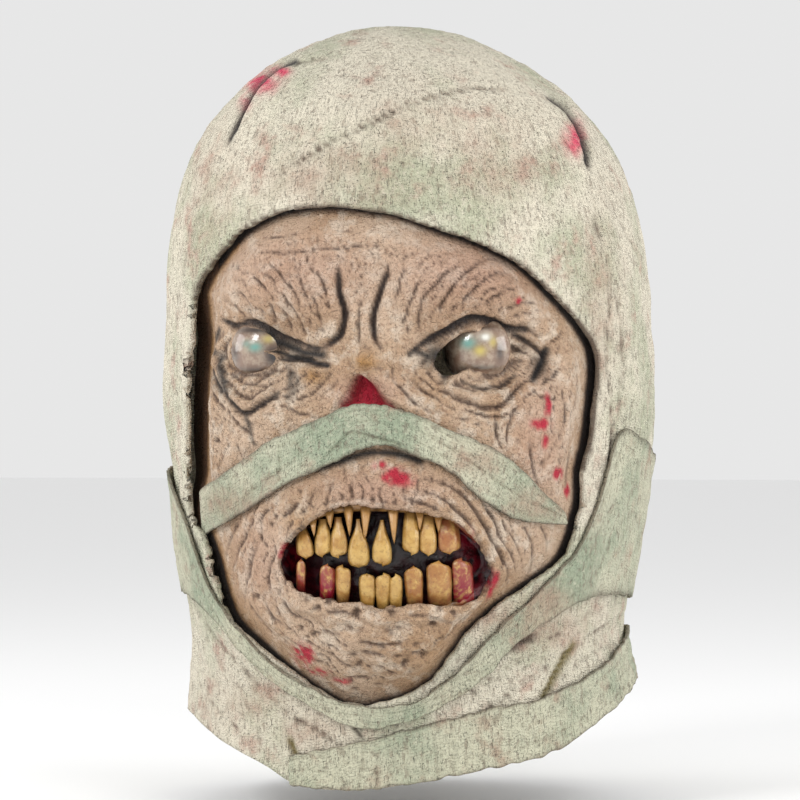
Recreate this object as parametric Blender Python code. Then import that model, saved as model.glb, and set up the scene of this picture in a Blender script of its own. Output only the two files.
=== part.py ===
"""Overhead mummy mask: a bandaged latex hood with a withered face let into it.

The mask keeps the form it has on a head. It looks towards -Y, +X is on the viewer's right,
and the origin is the inside of the crown, where the mask rests on the head that wears it.
"""
import math

import bmesh
import bpy
from mathutils import Matrix, Vector

# Sizes in metres, each set by itself.
MASK_WIDTH = 0.200        # over the ears, outside the latex
MASK_HEIGHT = 0.300       # crown to the front hem
FRONT_REACH = 0.110       # crown axis to the brow
BACK_REACH = 0.117        # crown axis to the back of the skull
HOOD_WALL = 0.0022        # wrapped hood
SKIN_WALL = 0.0020        # withered face
BAND_WALL = 0.0012        # single bandage layer
SCULPT_DEPTH = 0.010      # unit for the heights of the face's forms
FOLD_RISE = 0.0022        # unit for the heights of the hood's folds
EYE_RADIUS = 0.0150
EYE_SINK = 0.0015         # front of the eyeball behind the hood's surface
TOOTH_DEPTH = 0.0062
LIP_OVERLAP = 0.0036      # lips in front of the teeth
GUM_RADIUS = 0.0036
LINING_SINK = 0.0044      # rim of the mouth lining behind the inside of the skin
GAP = 0.0005              # air between two layers of latex
BAND_GAP = 0.0008         # air under a band that crosses the hood's folds
TUCK = 0.0060             # face hidden behind the hood's edge
EDGE_SINK = 0.0023        # face's edge behind the inside of the hood
LEFT_GAPE = 0.0040        # hood standing off the cheek on the viewer's left
EDGE_FADE = 0.0120        # width of the slope from the hood's edge to the face
TOOTH_EDGE = 0.0016       # rounding of a tooth
GUM_SINK = 0.0004         # gum ridge behind the front of its teeth
CLOTH_REACH = 0.0030      # how far cloth looks round for the highest place under it

HALF_WIDTH = MASK_WIDTH / 2
CROWN_TOP = HOOD_WALL

# Where the hood stands off the cheek. side: shares of HALF_WIDTH. drop: shares of MASK_HEIGHT.
GAPE_SIDE = 0.55
GAPE_SIDE_FADE = 0.20
GAPE_DROP = 0.51
GAPE_REACH = 0.154
GAPE_FADE = 0.07

# Net of the face: degrees to each side, and drops of its upper and lower edge.
SKIN_SPAN = 68
SKIN_TOP = 0.225
SKIN_BOTTOM = 0.925

# How far cutting blanks reach along Y, in shares of FRONT_REACH.
BLANK_FRONT = -2.0
WINDOW_BACK = -0.3
SKIN_BACK = -0.2
HOLE_BACK = -0.5

# Eyeball dome: degrees from its middle to its edge. Tip of a tooth: shares of its root.
EYE_SPAN = 58
TIP_WIDTH = 0.86
TIP_DEPTH = 0.70

# Mouth lining: middle and reach as across and drop, and where its floor starts to rise.
LINING_MIDDLE = (0.06, 0.708)
LINING_REACH = (0.62, 0.116)
LINING_FLAT = 0.76
LINING_SLOPE = 0.20

# Level sections of the hood from crown to hem.
# drop: share of MASK_HEIGHT. half and lean: shares of HALF_WIDTH.
# front: share of FRONT_REACH. back: share of BACK_REACH.
SECTIONS = (
    # drop, half, front, back, lean
    (0.000, 0.000, 0.000, 0.000, -0.055),
    (0.008, 0.200, 0.245, 0.231, -0.055),
    (0.030, 0.380, 0.436, 0.410, -0.055),
    (0.070, 0.580, 0.645, 0.615, -0.044),
    (0.133, 0.780, 0.836, 0.803, -0.038),
    (0.210, 0.900, 0.936, 0.923, -0.030),
    (0.310, 0.973, 0.991, 0.991, -0.014),
    (0.410, 0.988, 1.000, 1.000, -0.006),
    (0.510, 0.995, 0.991, 0.957, 0.000),
    (0.610, 0.968, 1.000, 0.872, 0.000),
    (0.713, 0.930, 1.000, 0.769, -0.010),
    (0.810, 0.880, 0.936, 0.692, -0.010),
    (0.883, 0.905, 0.818, 0.675, 0.000),
    (0.963, 0.920, 0.782, 0.684, 0.000),
    (1.050, 0.915, 0.800, 0.700, 0.000),
)

# Lower edge of the hood round the neck: bearing in degrees from the front, drop.
HEM = (
    (-180, 0.980), (-120, 0.955), (-90, 0.932), (-69, 0.931), (-50, 0.955), (-32, 0.984),
    (-20, 1.010), (-2, 1.010), (12, 0.997), (26, 0.984), (43, 0.967), (63, 0.924),
    (94, 0.881), (120, 0.900), (150, 0.945), (180, 0.980),
)

# Broad folds of the wrapping: each runs from one place to another.
# bearing: degrees. drop: share of MASK_HEIGHT. wide: share of HALF_WIDTH. rise: share of FOLD_RISE.
HOOD_FOLDS = (
    # bearing, drop, bearing, drop, wide, rise
    (62, 0.330, 74, 0.560, 0.13, 0.8),       # ridge down the side, viewer's right
    (-66, 0.300, -74, 0.540, 0.12, 0.6),     # ridge down the side, viewer's left
    (-30, 0.235, 6, 0.150, 0.16, 0.5),       # edge of the brow wrap, rising to the right
    (6, 0.150, 58, 0.115, 0.16, 0.5),
    (100, 0.180, 175, 0.420, 0.22, 0.8),     # wraps that cross behind the head
    (-100, 0.200, -170, 0.500, 0.22, 0.8),
    (130, 0.480, 185, 0.300, 0.18, -0.5),
    (-120, 0.330, -175, 0.250, 0.18, -0.5),
)

# Edge of the hood round the face, clockwise from the middle of the forehead.
FACE_OPENING = (
    # across: share of HALF_WIDTH, drop
    (0.00, 0.257), (0.20, 0.269), (0.40, 0.299), (0.58, 0.341), (0.72, 0.381), (0.80, 0.424),
    (0.83, 0.491), (0.825, 0.557), (0.81, 0.624), (0.77, 0.681), (0.66, 0.727), (0.52, 0.760),
    (0.40, 0.804), (0.27, 0.844), (0.14, 0.874), (0.02, 0.887), (-0.14, 0.881), (-0.29, 0.861),
    (-0.44, 0.831), (-0.58, 0.797), (-0.67, 0.754), (-0.72, 0.694), (-0.79, 0.634),
    (-0.83, 0.557), (-0.83, 0.484), (-0.80, 0.414), (-0.72, 0.351), (-0.56, 0.291),
    (-0.38, 0.264), (-0.19, 0.256),
)

# Soft forms of the face. across and wide: shares of HALF_WIDTH. drop and tall: shares of
# MASK_HEIGHT. rise: share of SCULPT_DEPTH, turn: degrees, clockwise seen from the front.
FACE_FORMS = (
    # across, drop, wide, tall, rise, turn
    (-0.33, 0.370, 0.26, 0.050, 0.55, 20),     # brow, viewer's left
    (0.40, 0.360, 0.28, 0.045, 0.60, -14),     # brow, viewer's right
    (-0.04, 0.400, 0.10, 0.060, -0.12, 0),     # furrow between the brows
    (-0.44, 0.445, 0.19, 0.042, -1.00, 0),     # eye socket, viewer's left
    (0.42, 0.445, 0.20, 0.042, -1.00, 0),      # eye socket, viewer's right
    (-0.42, 0.510, 0.22, 0.032, 0.30, 8),      # bag under the eye
    (0.42, 0.510, 0.24, 0.032, 0.30, -8),      # bag under the eye
    (0.00, 0.452, 0.11, 0.040, 0.50, 0),       # bridge of the nose
    (-0.01, 0.545, 0.16, 0.040, 0.60, 0),      # stump of the nose
    (-0.60, 0.540, 0.16, 0.060, 0.22, 0),      # cheekbone
    (0.62, 0.540, 0.16, 0.060, 0.30, 0),       # cheekbone
    (-0.58, 0.690, 0.16, 0.080, -0.35, 0),     # hollow of the cheek
    (0.62, 0.690, 0.14, 0.080, -0.30, 0),      # hollow of the cheek
    (0.05, 0.700, 0.42, 0.105, 1.00, 0),       # muzzle
    (0.04, 0.830, 0.26, 0.040, 0.60, 0),       # chin
)

# Rotten-away nose: a pit under the bridge, cut right through the skin.
NOSE_PIT = ((-0.02, 0.470), (0.02, 0.490), (0.085, 0.520), (0.03, 0.527), (-0.05, 0.524), (-0.11, 0.510))

# Edge of the mouth, clockwise from the middle of the upper lip.
MOUTH_EDGE = (
    # across, drop
    (0.06, 0.637), (0.22, 0.645), (0.34, 0.662), (0.42, 0.690), (0.47, 0.722), (0.46, 0.757),
    (0.36, 0.772), (0.22, 0.775), (0.06, 0.773), (-0.10, 0.768), (-0.24, 0.760), (-0.34, 0.742),
    (-0.355, 0.710), (-0.30, 0.676), (-0.20, 0.652), (-0.06, 0.641),
)

# Teeth. across and width: shares of HALF_WIDTH. root and tip: drops. turn: degrees.
UPPER_TEETH = (
    # across, width, root, tip, turn
    (-0.255, 0.070, 0.668, 0.693, 3),
    (-0.175, 0.066, 0.655, 0.693, 2),
    (-0.100, 0.066, 0.648, 0.697, 0),
    (-0.020, 0.078, 0.645, 0.711, -1),
    (0.066, 0.078, 0.645, 0.708, 1),
    (0.165, 0.078, 0.652, 0.694, -3),
    (0.252, 0.076, 0.655, 0.696, 0),
    (0.335, 0.072, 0.665, 0.693, -3),
)
LOWER_TEETH = (
    # across, width, root, tip, turn
    (-0.265, 0.060, 0.754, 0.708, -6),
    (-0.180, 0.072, 0.758, 0.709, -4),
    (-0.098, 0.070, 0.762, 0.715, 0),
    (0.000, 0.080, 0.768, 0.722, 0),
    (0.090, 0.084, 0.768, 0.722, 0),
    (0.195, 0.084, 0.766, 0.715, 3),
    (0.300, 0.104, 0.762, 0.707, 0),
    (0.395, 0.070, 0.756, 0.703, 8),
)
UPPER_GUM = ((-0.29, 0.678), (-0.20, 0.664), (-0.06, 0.655), (0.06, 0.653), (0.20, 0.658), (0.36, 0.678))
LOWER_GUM = ((-0.29, 0.744), (-0.18, 0.755), (0.00, 0.764), (0.16, 0.766), (0.30, 0.762), (0.42, 0.748))

# Eyeballs: across, drop of each centre.
EYES = (("eye_left", -0.46, 0.443), ("eye_right", 0.385, 0.443))

# Bandage over the nose, from the viewer's left to right: across, drop of its two edges.
NOSE_BAND_TOP = ((-0.77, 0.628), (-0.66, 0.598), (-0.50, 0.570), (-0.28, 0.545), (-0.12, 0.524),
                 (-0.02, 0.512), (0.08, 0.518), (0.20, 0.540), (0.34, 0.566), (0.49, 0.597),
                 (0.63, 0.634), (0.74, 0.657))
NOSE_BAND_LOW = ((-0.71, 0.682), (-0.63, 0.668), (-0.53, 0.650), (-0.32, 0.609), (-0.16, 0.577),
                 (-0.04, 0.557), (0.05, 0.560), (0.16, 0.578), (0.28, 0.601), (0.40, 0.630),
                 (0.55, 0.660), (0.73, 0.672))

# Bandage slung under the chin and round the back of the head, outside the hood:
# bearing in degrees, drop of its two edges.
JAW_BAND = (
    # bearing, upper, lower
    (-180, 0.610, 0.810), (-120, 0.600, 0.790), (-90, 0.600, 0.775), (-74, 0.610, 0.765),
    (-60, 0.655, 0.772), (-52, 0.715, 0.785), (-46, 0.768, 0.803), (-36, 0.815, 0.845),
    (-27, 0.852, 0.877), (-17, 0.880, 0.904), (-9, 0.897, 0.925), (0, 0.903, 0.930),
    (9, 0.896, 0.916), (18, 0.865, 0.893), (27, 0.825, 0.862), (36, 0.782, 0.822),
    (45, 0.742, 0.795), (53, 0.700, 0.775), (58, 0.640, 0.768), (63, 0.550, 0.765),
    (76, 0.565, 0.768), (100, 0.590, 0.778), (140, 0.600, 0.800), (180, 0.610, 0.810),
)

# Ribbed collar band outside the hem: bearing in degrees, drop of its two edges.
NECK_BAND = (
    # bearing, upper, lower
    (-23, 0.970, 1.008), (-6, 0.950, 1.010), (9, 0.930, 1.000), (26, 0.908, 0.984),
    (43, 0.892, 0.967), (63, 0.862, 0.924), (94, 0.818, 0.881), (120, 0.830, 0.900),
    (150, 0.875, 0.945), (180, 0.912, 0.980), (215, 0.905, 0.968), (250, 0.895, 0.945),
)

# Finenesses of the faceted solids.
HOOD_SPOKES = 44
CROWN_ROWS = 14
NECK_ROWS = 10
NECK_START = 0.610
SKIN_COLUMNS = 25
SKIN_ROWS = 28
LINING_RINGS = 6
LINING_SPOKES = 24
EYE_STEPS = 4
EYE_SPOKES = 18
GUM_SIDES = 8
OUTLINE_STEPS = 3


def catmull(before, start, end, after, share):
    """Point between start and end on a smooth curve through four equally spaced points."""
    return tuple(
        0.5 * (2 * q + (r - p) * share + (2 * p - 5 * q + 4 * r - s) * share ** 2
               + (3 * q - p - 3 * r + s) * share ** 3)
        for p, q, r, s in zip(before, start, end, after))


def section(place):
    """Drop, half width, front, back and lean at a place counted in rows of SECTIONS."""
    row = min(int(place), len(SECTIONS) - 2)
    if row == 0:
        drop, half, front, back, lean = SECTIONS[1]
        before = (drop, -half, -front, -back, lean)
    else:
        before = SECTIONS[row - 1]
    after = SECTIONS[min(row + 2, len(SECTIONS) - 1)]
    return catmull(before, SECTIONS[row], SECTIONS[row + 1], after, place - row)


def place_at(drop):
    """Place in SECTIONS, in rows, at which the hood has come down by this drop."""
    low, high = 0.0, len(SECTIONS) - 1.0
    for _ in range(30):
        middle = (low + high) / 2
        if section(middle)[0] < drop:
            low = middle
        else:
            high = middle
    return low


def skull_point(bearing, drop, lift=0.0):
    """Point of the hood's outer surface at a bearing in radians, moved out level by lift."""
    drop, half, front, back, lean = section(place_at(drop))
    reach = front * FRONT_REACH if math.cos(bearing) > 0 else back * BACK_REACH
    return Vector((
        lean * HALF_WIDTH + (half * HALF_WIDTH + lift) * math.sin(bearing),
        -(reach + lift) * math.cos(bearing),
        CROWN_TOP - drop * MASK_HEIGHT))


def fold_lift(bearing, drop):
    """Height of the wrapping's folds over the plain section."""
    here = skull_point(bearing, drop)
    height = 0.0
    for bearing_a, drop_a, bearing_b, drop_b, wide, rise in HOOD_FOLDS:
        start = skull_point(math.radians(bearing_a), drop_a)
        along = skull_point(math.radians(bearing_b), drop_b) - start
        share = max(0.0, min(1.0, (here - start).dot(along) / along.length_squared))
        bow = skull_point(math.radians(bearing_a + (bearing_b - bearing_a) * share),
                          drop_a + (drop_b - drop_a) * share)
        height += rise * FOLD_RISE * math.exp(-((here - bow).length / (wide * HALF_WIDTH)) ** 2)
    return height


def bearing_at(across, drop):
    """Bearing on the front half whose point lies across from the middle by this share."""
    _, half, _, _, lean = section(place_at(drop))
    return math.asin(max(-1.0, min(1.0, (across - lean) / half)))


def front_point(across, drop, lift=0.0):
    """Point on the front half of the hood, given as it is seen from the front."""
    return skull_point(bearing_at(across, drop), drop, lift)


def smooth_open(points, steps):
    """Points on a smooth curve through the given ones, steps to each stretch."""
    curve = []
    last = len(points) - 1
    for i in range(last):
        around = (points[max(i - 1, 0)], points[i], points[i + 1], points[min(i + 2, last)])
        curve += [catmull(*around, step / steps) for step in range(steps)]
    return curve + [points[-1]]


def smooth_closed(points, steps):
    """Points on a smooth closed curve through the given ones."""
    count = len(points)
    curve = []
    for i in range(count):
        around = [points[(i + k) % count] for k in (-1, 0, 1, 2)]
        curve += [catmull(*around, step / steps) for step in range(steps)]
    return curve


def between(table, key, column):
    """Value of a column of a table at a key, smooth between its rows."""
    for i in range(len(table) - 1):
        if key <= table[i + 1][0]:
            break
    around = (table[max(i - 1, 0)], table[i], table[i + 1], table[min(i + 2, len(table) - 1)])
    share = (key - table[i][0]) / (table[i + 1][0] - table[i][0])
    return catmull(*around, share)[column]


def smooth_step(value):
    value = max(0.0, min(1.0, value))
    return value * value * (3 - 2 * value)


def seen(points):
    """Points given as across and drop, as flat x and z in metres."""
    return [(x * HALF_WIDTH, CROWN_TOP - drop * MASK_HEIGHT) for x, drop in points]


OPENING_LINE = seen(smooth_closed(FACE_OPENING, OUTLINE_STEPS))


def depth_inside(x, z, line):
    """Distance in metres from a flat point to a closed line, positive inside it."""
    nearest = 1.0
    inside = False
    for (ax, az), (bx, bz) in zip(line, line[1:] + line[:1]):
        along = Vector((bx - ax, bz - az))
        share = max(0.0, min(1.0, Vector((x - ax, z - az)).dot(along) / along.length_squared))
        nearest = min(nearest, math.hypot(x - ax - share * along.x, z - az - share * along.y))
        if (az > z) != (bz > z) and x < ax + (z - az) * (bx - ax) / (bz - az):
            inside = not inside
    return nearest if inside else -nearest


def face_lift(across, drop):
    """Height of the face over the hood's surface: tucked under at the edge, sculpted inside."""
    x, z = seen([(across, drop)])[0]
    share = smooth_step(depth_inside(x, z, OPENING_LINE) / EDGE_FADE)
    tucked = -(HOOD_WALL + EDGE_SINK)
    tucked -= (LEFT_GAPE * smooth_step((-across - GAPE_SIDE) / GAPE_SIDE_FADE)
               * smooth_step((GAPE_REACH - abs(drop - GAPE_DROP)) / GAPE_FADE))
    height = 0.0
    for mid_x, mid_drop, wide, tall, rise, turn in FACE_FORMS:
        dx = (across - mid_x) * HALF_WIDTH
        dz = (drop - mid_drop) * MASK_HEIGHT
        angle = math.radians(turn)
        u = (dx * math.cos(angle) + dz * math.sin(angle)) / (wide * HALF_WIDTH)
        v = (dz * math.cos(angle) - dx * math.sin(angle)) / (tall * MASK_HEIGHT)
        height += rise * SCULPT_DEPTH * math.exp(-(u * u + v * v))
    return tucked + share * (height - tucked)


def material(name, color, roughness):
    """Plain dielectric surface."""
    surface = bpy.data.materials.new(name)
    surface.use_nodes = True
    shader = surface.node_tree.nodes["Principled BSDF"]
    shader.inputs["Base Color"].default_value = (*color, 1.0)
    shader.inputs["Roughness"].default_value = roughness
    shader.inputs["Metallic"].default_value = 0.0
    return surface


def add_object(name, shape, surface):
    """Object at the origin from a bmesh, which is freed."""
    mesh = bpy.data.meshes.new(name)
    bmesh.ops.recalc_face_normals(shape, faces=shape.faces)
    shape.to_mesh(mesh)
    shape.free()
    mesh.shade_smooth()
    mesh.materials.append(surface)
    piece = bpy.data.objects.new(name, mesh)
    bpy.context.scene.collection.objects.link(piece)
    return piece


def add_grid(shape, points, columns, closed=False):
    """Sheet of quads through rows of points, each row holding this many columns."""
    verts = [shape.verts.new(point) for point in points]
    rows = len(verts) // columns
    for row in range(rows - 1):
        for column in range(columns if closed else columns - 1):
            beside = (column + 1) % columns
            shape.faces.new((verts[row * columns + column], verts[row * columns + beside],
                             verts[(row + 1) * columns + beside], verts[(row + 1) * columns + column]))
    return verts


def thicken(piece, wall, outward):
    """Wall of even thickness inside or outside the sheet."""
    solid = piece.modifiers.new("wall", "SOLIDIFY")
    solid.thickness = wall
    solid.offset = 1.0 if outward else -1.0
    solid.use_even_offset = True
    solid.use_quality_normals = True


def cut(piece, tool, operation="DIFFERENCE"):
    """Boolean with a hidden tool, which stays in the scene as a guide."""
    tool.hide_render = True
    tool.display_type = "WIRE"
    change = piece.modifiers.new(tool.name, "BOOLEAN")
    change.operation = operation
    change.solver = "EXACT"
    change.use_self = operation == "UNION"
    change.object = tool


def prism(name, line, surface, start, end):
    """Closed block with a flat outline in x and z, running from start to end along Y."""
    shape = bmesh.new()
    floor = shape.faces.new([shape.verts.new((x, start, z)) for x, z in line])
    pushed = bmesh.ops.extrude_face_region(shape, geom=[floor])
    moved = [part for part in pushed["geom"] if isinstance(part, bmesh.types.BMVert)]
    bmesh.ops.translate(shape, verts=moved, vec=(0, end - start, 0))
    return add_object(name, shape, surface)


def grown(line, distance):
    """Closed flat line moved outwards, or inwards where the distance is negative."""
    result = []
    for before, here, after in zip(line[-1:] + line[:-1], line, line[1:] + line[:1]):
        along = Vector((after[0] - before[0], after[1] - before[1])).normalized()
        result.append((here[0] - along.y * distance, here[1] + along.x * distance))
    return result


def hem_drop(degrees):
    return between(HEM, degrees, 1)


def build_hood(surface):
    """Wrapped hood: closed at the crown, open at the neck and round the face."""
    shape = bmesh.new()
    crown = shape.verts.new((section(0)[4] * HALF_WIDTH, 0, CROWN_TOP))
    start_place = place_at(NECK_START)
    points = []
    for row in range(1, CROWN_ROWS + 1):
        drop = section(start_place * row / CROWN_ROWS)[0]
        for spoke in range(HOOD_SPOKES):
            bearing = 2 * math.pi * spoke / HOOD_SPOKES
            points.append(skull_point(bearing, drop, fold_lift(bearing, drop)))
    for row in range(1, NECK_ROWS + 1):
        for spoke in range(HOOD_SPOKES):
            bearing = 2 * math.pi * spoke / HOOD_SPOKES
            degrees = math.degrees(bearing)
            hem = hem_drop(degrees if degrees <= 180 else degrees - 360)
            points.append(skull_point(bearing, NECK_START + (hem - NECK_START) * row / NECK_ROWS))
    verts = add_grid(shape, points, HOOD_SPOKES, closed=True)
    for spoke in range(HOOD_SPOKES):
        shape.faces.new((crown, verts[(spoke + 1) % HOOD_SPOKES], verts[spoke]))
    hood = add_object("hood", shape, surface)
    thicken(hood, HOOD_WALL, outward=False)
    window = prism("face_window", OPENING_LINE, surface, BLANK_FRONT * FRONT_REACH,
                   WINDOW_BACK * FRONT_REACH)
    cut(hood, window)
    return hood


def build_face(surface):
    """Withered face behind the hood's edge, with holes for the eyes, the nose and the mouth."""
    shape = bmesh.new()
    span = math.radians(SKIN_SPAN)
    points = []
    for row in range(SKIN_ROWS):
        drop = SKIN_TOP + (SKIN_BOTTOM - SKIN_TOP) * row / (SKIN_ROWS - 1)
        half, lean = section(place_at(drop))[1], section(place_at(drop))[4]
        for column in range(SKIN_COLUMNS):
            bearing = span * (2 * column / (SKIN_COLUMNS - 1) - 1)
            across = lean + half * math.sin(bearing)
            points.append(skull_point(bearing, drop, face_lift(across, drop)))
    add_grid(shape, points, SKIN_COLUMNS)
    face = add_object("face_skin", shape, surface)
    thicken(face, SKIN_WALL, outward=False)
    blank = prism("face_blank", grown(OPENING_LINE, TUCK), surface, BLANK_FRONT * FRONT_REACH,
                  SKIN_BACK * FRONT_REACH)
    cut(face, blank, "INTERSECT")
    mouth = prism("mouth_hole", seen(smooth_closed(MOUTH_EDGE, 2)), surface,
                  BLANK_FRONT * FRONT_REACH, HOLE_BACK * FRONT_REACH)
    cut(face, mouth)
    nose = prism("nose_hole", seen(NOSE_PIT), surface, BLANK_FRONT * FRONT_REACH,
                 HOLE_BACK * FRONT_REACH)
    cut(face, nose)
    for name, across, drop in EYES:
        ball = bmesh.new()
        bmesh.ops.create_uvsphere(ball, u_segments=20, v_segments=12, radius=EYE_RADIUS + GAP)
        socket = add_object(name + "_room", ball, surface)
        socket.location = eye_middle(across, drop)
        cut(face, socket)
    return face


def eye_middle(across, drop):
    """Centre of an eyeball, straight behind its front."""
    return front_point(across, drop, -EYE_SINK) + Vector((0, EYE_RADIUS, 0))


def build_eye(name, across, drop, surface):
    """Domed eyeball of even wall, its hollow side to the wearer."""
    shape = bmesh.new()
    steps = EYE_STEPS
    reach = math.radians(EYE_SPAN)
    outer = [(EYE_RADIUS * math.sin(reach * k / steps), EYE_RADIUS * math.cos(reach * k / steps))
             for k in range(steps + 1)]
    inner_radius = EYE_RADIUS - SKIN_WALL
    inner = [(inner_radius * math.sin(reach * k / steps), inner_radius * math.cos(reach * k / steps))
             for k in range(steps + 1)]
    profile = outer + inner[::-1]
    verts = [shape.verts.new((radius, 0, height)) for radius, height in profile]
    edges = [shape.edges.new(pair) for pair in zip(verts, verts[1:])]
    bmesh.ops.spin(shape, geom=verts + edges, cent=(0, 0, 0), axis=(0, 0, 1),
                   angle=2 * math.pi, steps=EYE_SPOKES, use_merge=True)
    bmesh.ops.remove_doubles(shape, verts=shape.verts, dist=1e-6)
    eye = add_object(name, shape, surface)
    eye.location = eye_middle(across, drop)
    eye.rotation_euler = (math.radians(90), 0, 0)
    return eye


def tooth_place(across, drop):
    """Front of a tooth behind the lips, and the bearing it looks along."""
    point = front_point(across, drop, face_lift(across, drop) - LIP_OVERLAP)
    side = GUM_RADIUS / HALF_WIDTH
    left = front_point(across - side, drop, face_lift(across - side, drop))
    right = front_point(across + side, drop, face_lift(across + side, drop))
    return point, math.atan2(right.y - left.y, right.x - left.x)


def add_tooth(shape, across, width, root, tip, turn):
    """One peg tooth, narrower and rounder at its tip."""
    point, heading = tooth_place(across, (root + tip) / 2)
    length = abs(tip - root) * MASK_HEIGHT
    down = 1 if tip > root else -1
    made = bmesh.ops.create_cube(shape, size=1.0)
    verts = made["verts"]
    for vert in verts:
        at_tip = vert.co.z * down < 0
        vert.co.x *= width * HALF_WIDTH * (TIP_WIDTH if at_tip else 1.0)
        vert.co.y *= TOOTH_DEPTH * (TIP_DEPTH if at_tip else 1.0)
        vert.co.z *= length
    edges = list({edge for vert in verts for edge in vert.link_edges})
    rounded = bmesh.ops.bevel(shape, geom=edges, affect="EDGES", offset=TOOTH_EDGE, segments=1,
                              profile=0.5, material=-1)
    verts = list({vert for face in rounded["faces"] for vert in face.verts} | {v for v in verts if v.is_valid})
    move = (Matrix.Translation(point) @ Matrix.Rotation(heading, 4, "Z")
            @ Matrix.Translation((0, TOOTH_DEPTH / 2, 0)) @ Matrix.Rotation(math.radians(turn), 4, "Y"))
    bmesh.ops.transform(shape, matrix=move, verts=verts)


def build_teeth(name, teeth, gum_line, surface):
    """Row of teeth standing in one ridge of gum."""
    gum = bmesh.new()
    line = smooth_open(gum_line, 3)
    points = []
    for across, drop in line:
        front, heading = tooth_place(across, drop)
        middle = front + Vector((-math.sin(heading), math.cos(heading), 0)) * (GUM_RADIUS + GUM_SINK)
        out = Vector((math.sin(heading), -math.cos(heading), 0))
        for side in range(GUM_SIDES):
            angle = 2 * math.pi * side / GUM_SIDES
            points.append(middle + out * GUM_RADIUS * math.cos(angle)
                          + Vector((0, 0, 1)) * GUM_RADIUS * math.sin(angle))
    verts = add_grid(gum, points, GUM_SIDES, closed=True)
    gum.faces.new(verts[:GUM_SIDES])
    gum.faces.new(verts[-GUM_SIDES:])
    row = add_object(name, gum, surface)
    pegs = bmesh.new()
    for tooth in teeth:
        add_tooth(pegs, *tooth)
    tool = add_object(name + "_pegs", pegs, surface)
    cut(row, tool, "UNION")
    return row


def build_lining(surface):
    """Dished lining behind the teeth that closes the mouth."""
    shape = bmesh.new()
    mid_across, mid_drop = LINING_MIDDLE
    wide, tall = LINING_REACH
    rim = -(SKIN_WALL + LINING_SINK)
    floor = -(LIP_OVERLAP + 2 * GUM_RADIUS + 4 * GAP)
    centre = shape.verts.new(front_point(mid_across, mid_drop, face_lift(mid_across, mid_drop) + floor))
    points = []
    for ring in range(1, LINING_RINGS + 1):
        share = ring / LINING_RINGS
        depth = floor + (rim - floor) * smooth_step((share - LINING_FLAT) / LINING_SLOPE)
        for spoke in range(LINING_SPOKES):
            angle = 2 * math.pi * spoke / LINING_SPOKES
            across = mid_across + wide * share * math.cos(angle)
            drop = mid_drop + tall * share * math.sin(angle)
            points.append(front_point(across, drop, face_lift(across, drop) + depth))
    verts = add_grid(shape, points, LINING_SPOKES, closed=True)
    for spoke in range(LINING_SPOKES):
        shape.faces.new((centre, verts[spoke], verts[(spoke + 1) % LINING_SPOKES]))
    lining = add_object("mouth_lining", shape, surface)
    thicken(lining, BAND_WALL, outward=False)
    return lining


def highest_face(across, drop):
    """Highest lift of the face close round a place, so that cloth can span its dents."""
    reach_x, reach_z = CLOTH_REACH / HALF_WIDTH, CLOTH_REACH / MASK_HEIGHT
    return max(face_lift(across + i * reach_x, drop + k * reach_z) for i in (-1, 0, 1) for k in (-1, 0, 1))


def build_nose_bandage(surface):
    """Bandage bent over the stump of the nose, spanning the dents of the face."""
    shape = bmesh.new()
    rows = 4
    top, low = smooth_open(NOSE_BAND_TOP, 2), smooth_open(NOSE_BAND_LOW, 2)
    points = []
    for row in range(rows):
        share = row / (rows - 1)
        for upper, lower in zip(top, low):
            across = upper[0] + (lower[0] - upper[0]) * share
            drop = upper[1] + (lower[1] - upper[1]) * share
            points.append(front_point(across, drop, highest_face(across, drop) + GAP))
    add_grid(shape, points, len(top))
    band = add_object("nose_bandage", shape, surface)
    thicken(band, BAND_WALL, outward=True)
    return band


def build_collar(name, table, rows, columns, surface):
    """Band round the neck outside the hood, closed where its table comes full circle."""
    shape = bmesh.new()
    first, last = table[0][0], table[-1][0]
    closed = last - first == 360
    points = []
    for row in range(rows):
        for column in range(columns):
            degrees = first + (last - first) * column / (columns if closed else columns - 1)
            upper, lower = between(table, degrees, 1), between(table, degrees, 2)
            drop = upper + (lower - upper) * row / (rows - 1)
            bearing = math.radians(degrees)
            points.append(skull_point(bearing, drop, fold_lift(bearing, drop) + BAND_GAP))
    add_grid(shape, points, columns, closed)
    band = add_object(name, shape, surface)
    thicken(band, BAND_WALL, outward=True)
    return band


for old in list(bpy.data.objects):
    bpy.data.objects.remove(old, do_unlink=True)

GAUZE = material("gauze", (0.72, 0.68, 0.58), 0.85)
BAND = material("band", (0.66, 0.65, 0.56), 0.85)
SKIN = material("skin", (0.58, 0.45, 0.35), 0.70)
TEETH = material("teeth", (0.62, 0.47, 0.24), 0.40)
LINING = material("lining", (0.05, 0.02, 0.03), 0.45)
EYEBALL = material("eyeball", (0.45, 0.45, 0.38), 0.25)

build_hood(GAUZE)
build_face(SKIN)
for eye_name, eye_across, eye_drop in EYES:
    build_eye(eye_name, eye_across, eye_drop, EYEBALL)
build_teeth("upper_teeth", UPPER_TEETH, UPPER_GUM, TEETH)
build_teeth("lower_teeth", LOWER_TEETH, LOWER_GUM, TEETH)
build_lining(LINING)
build_nose_bandage(BAND)
build_collar("jaw_band", JAW_BAND, 4, 56, BAND)
build_collar("neck_band", NECK_BAND, 3, 48, BAND)
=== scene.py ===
import itertools
import math

import bmesh
import bpy
import numpy as np
from mathutils import Matrix, Vector


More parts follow.
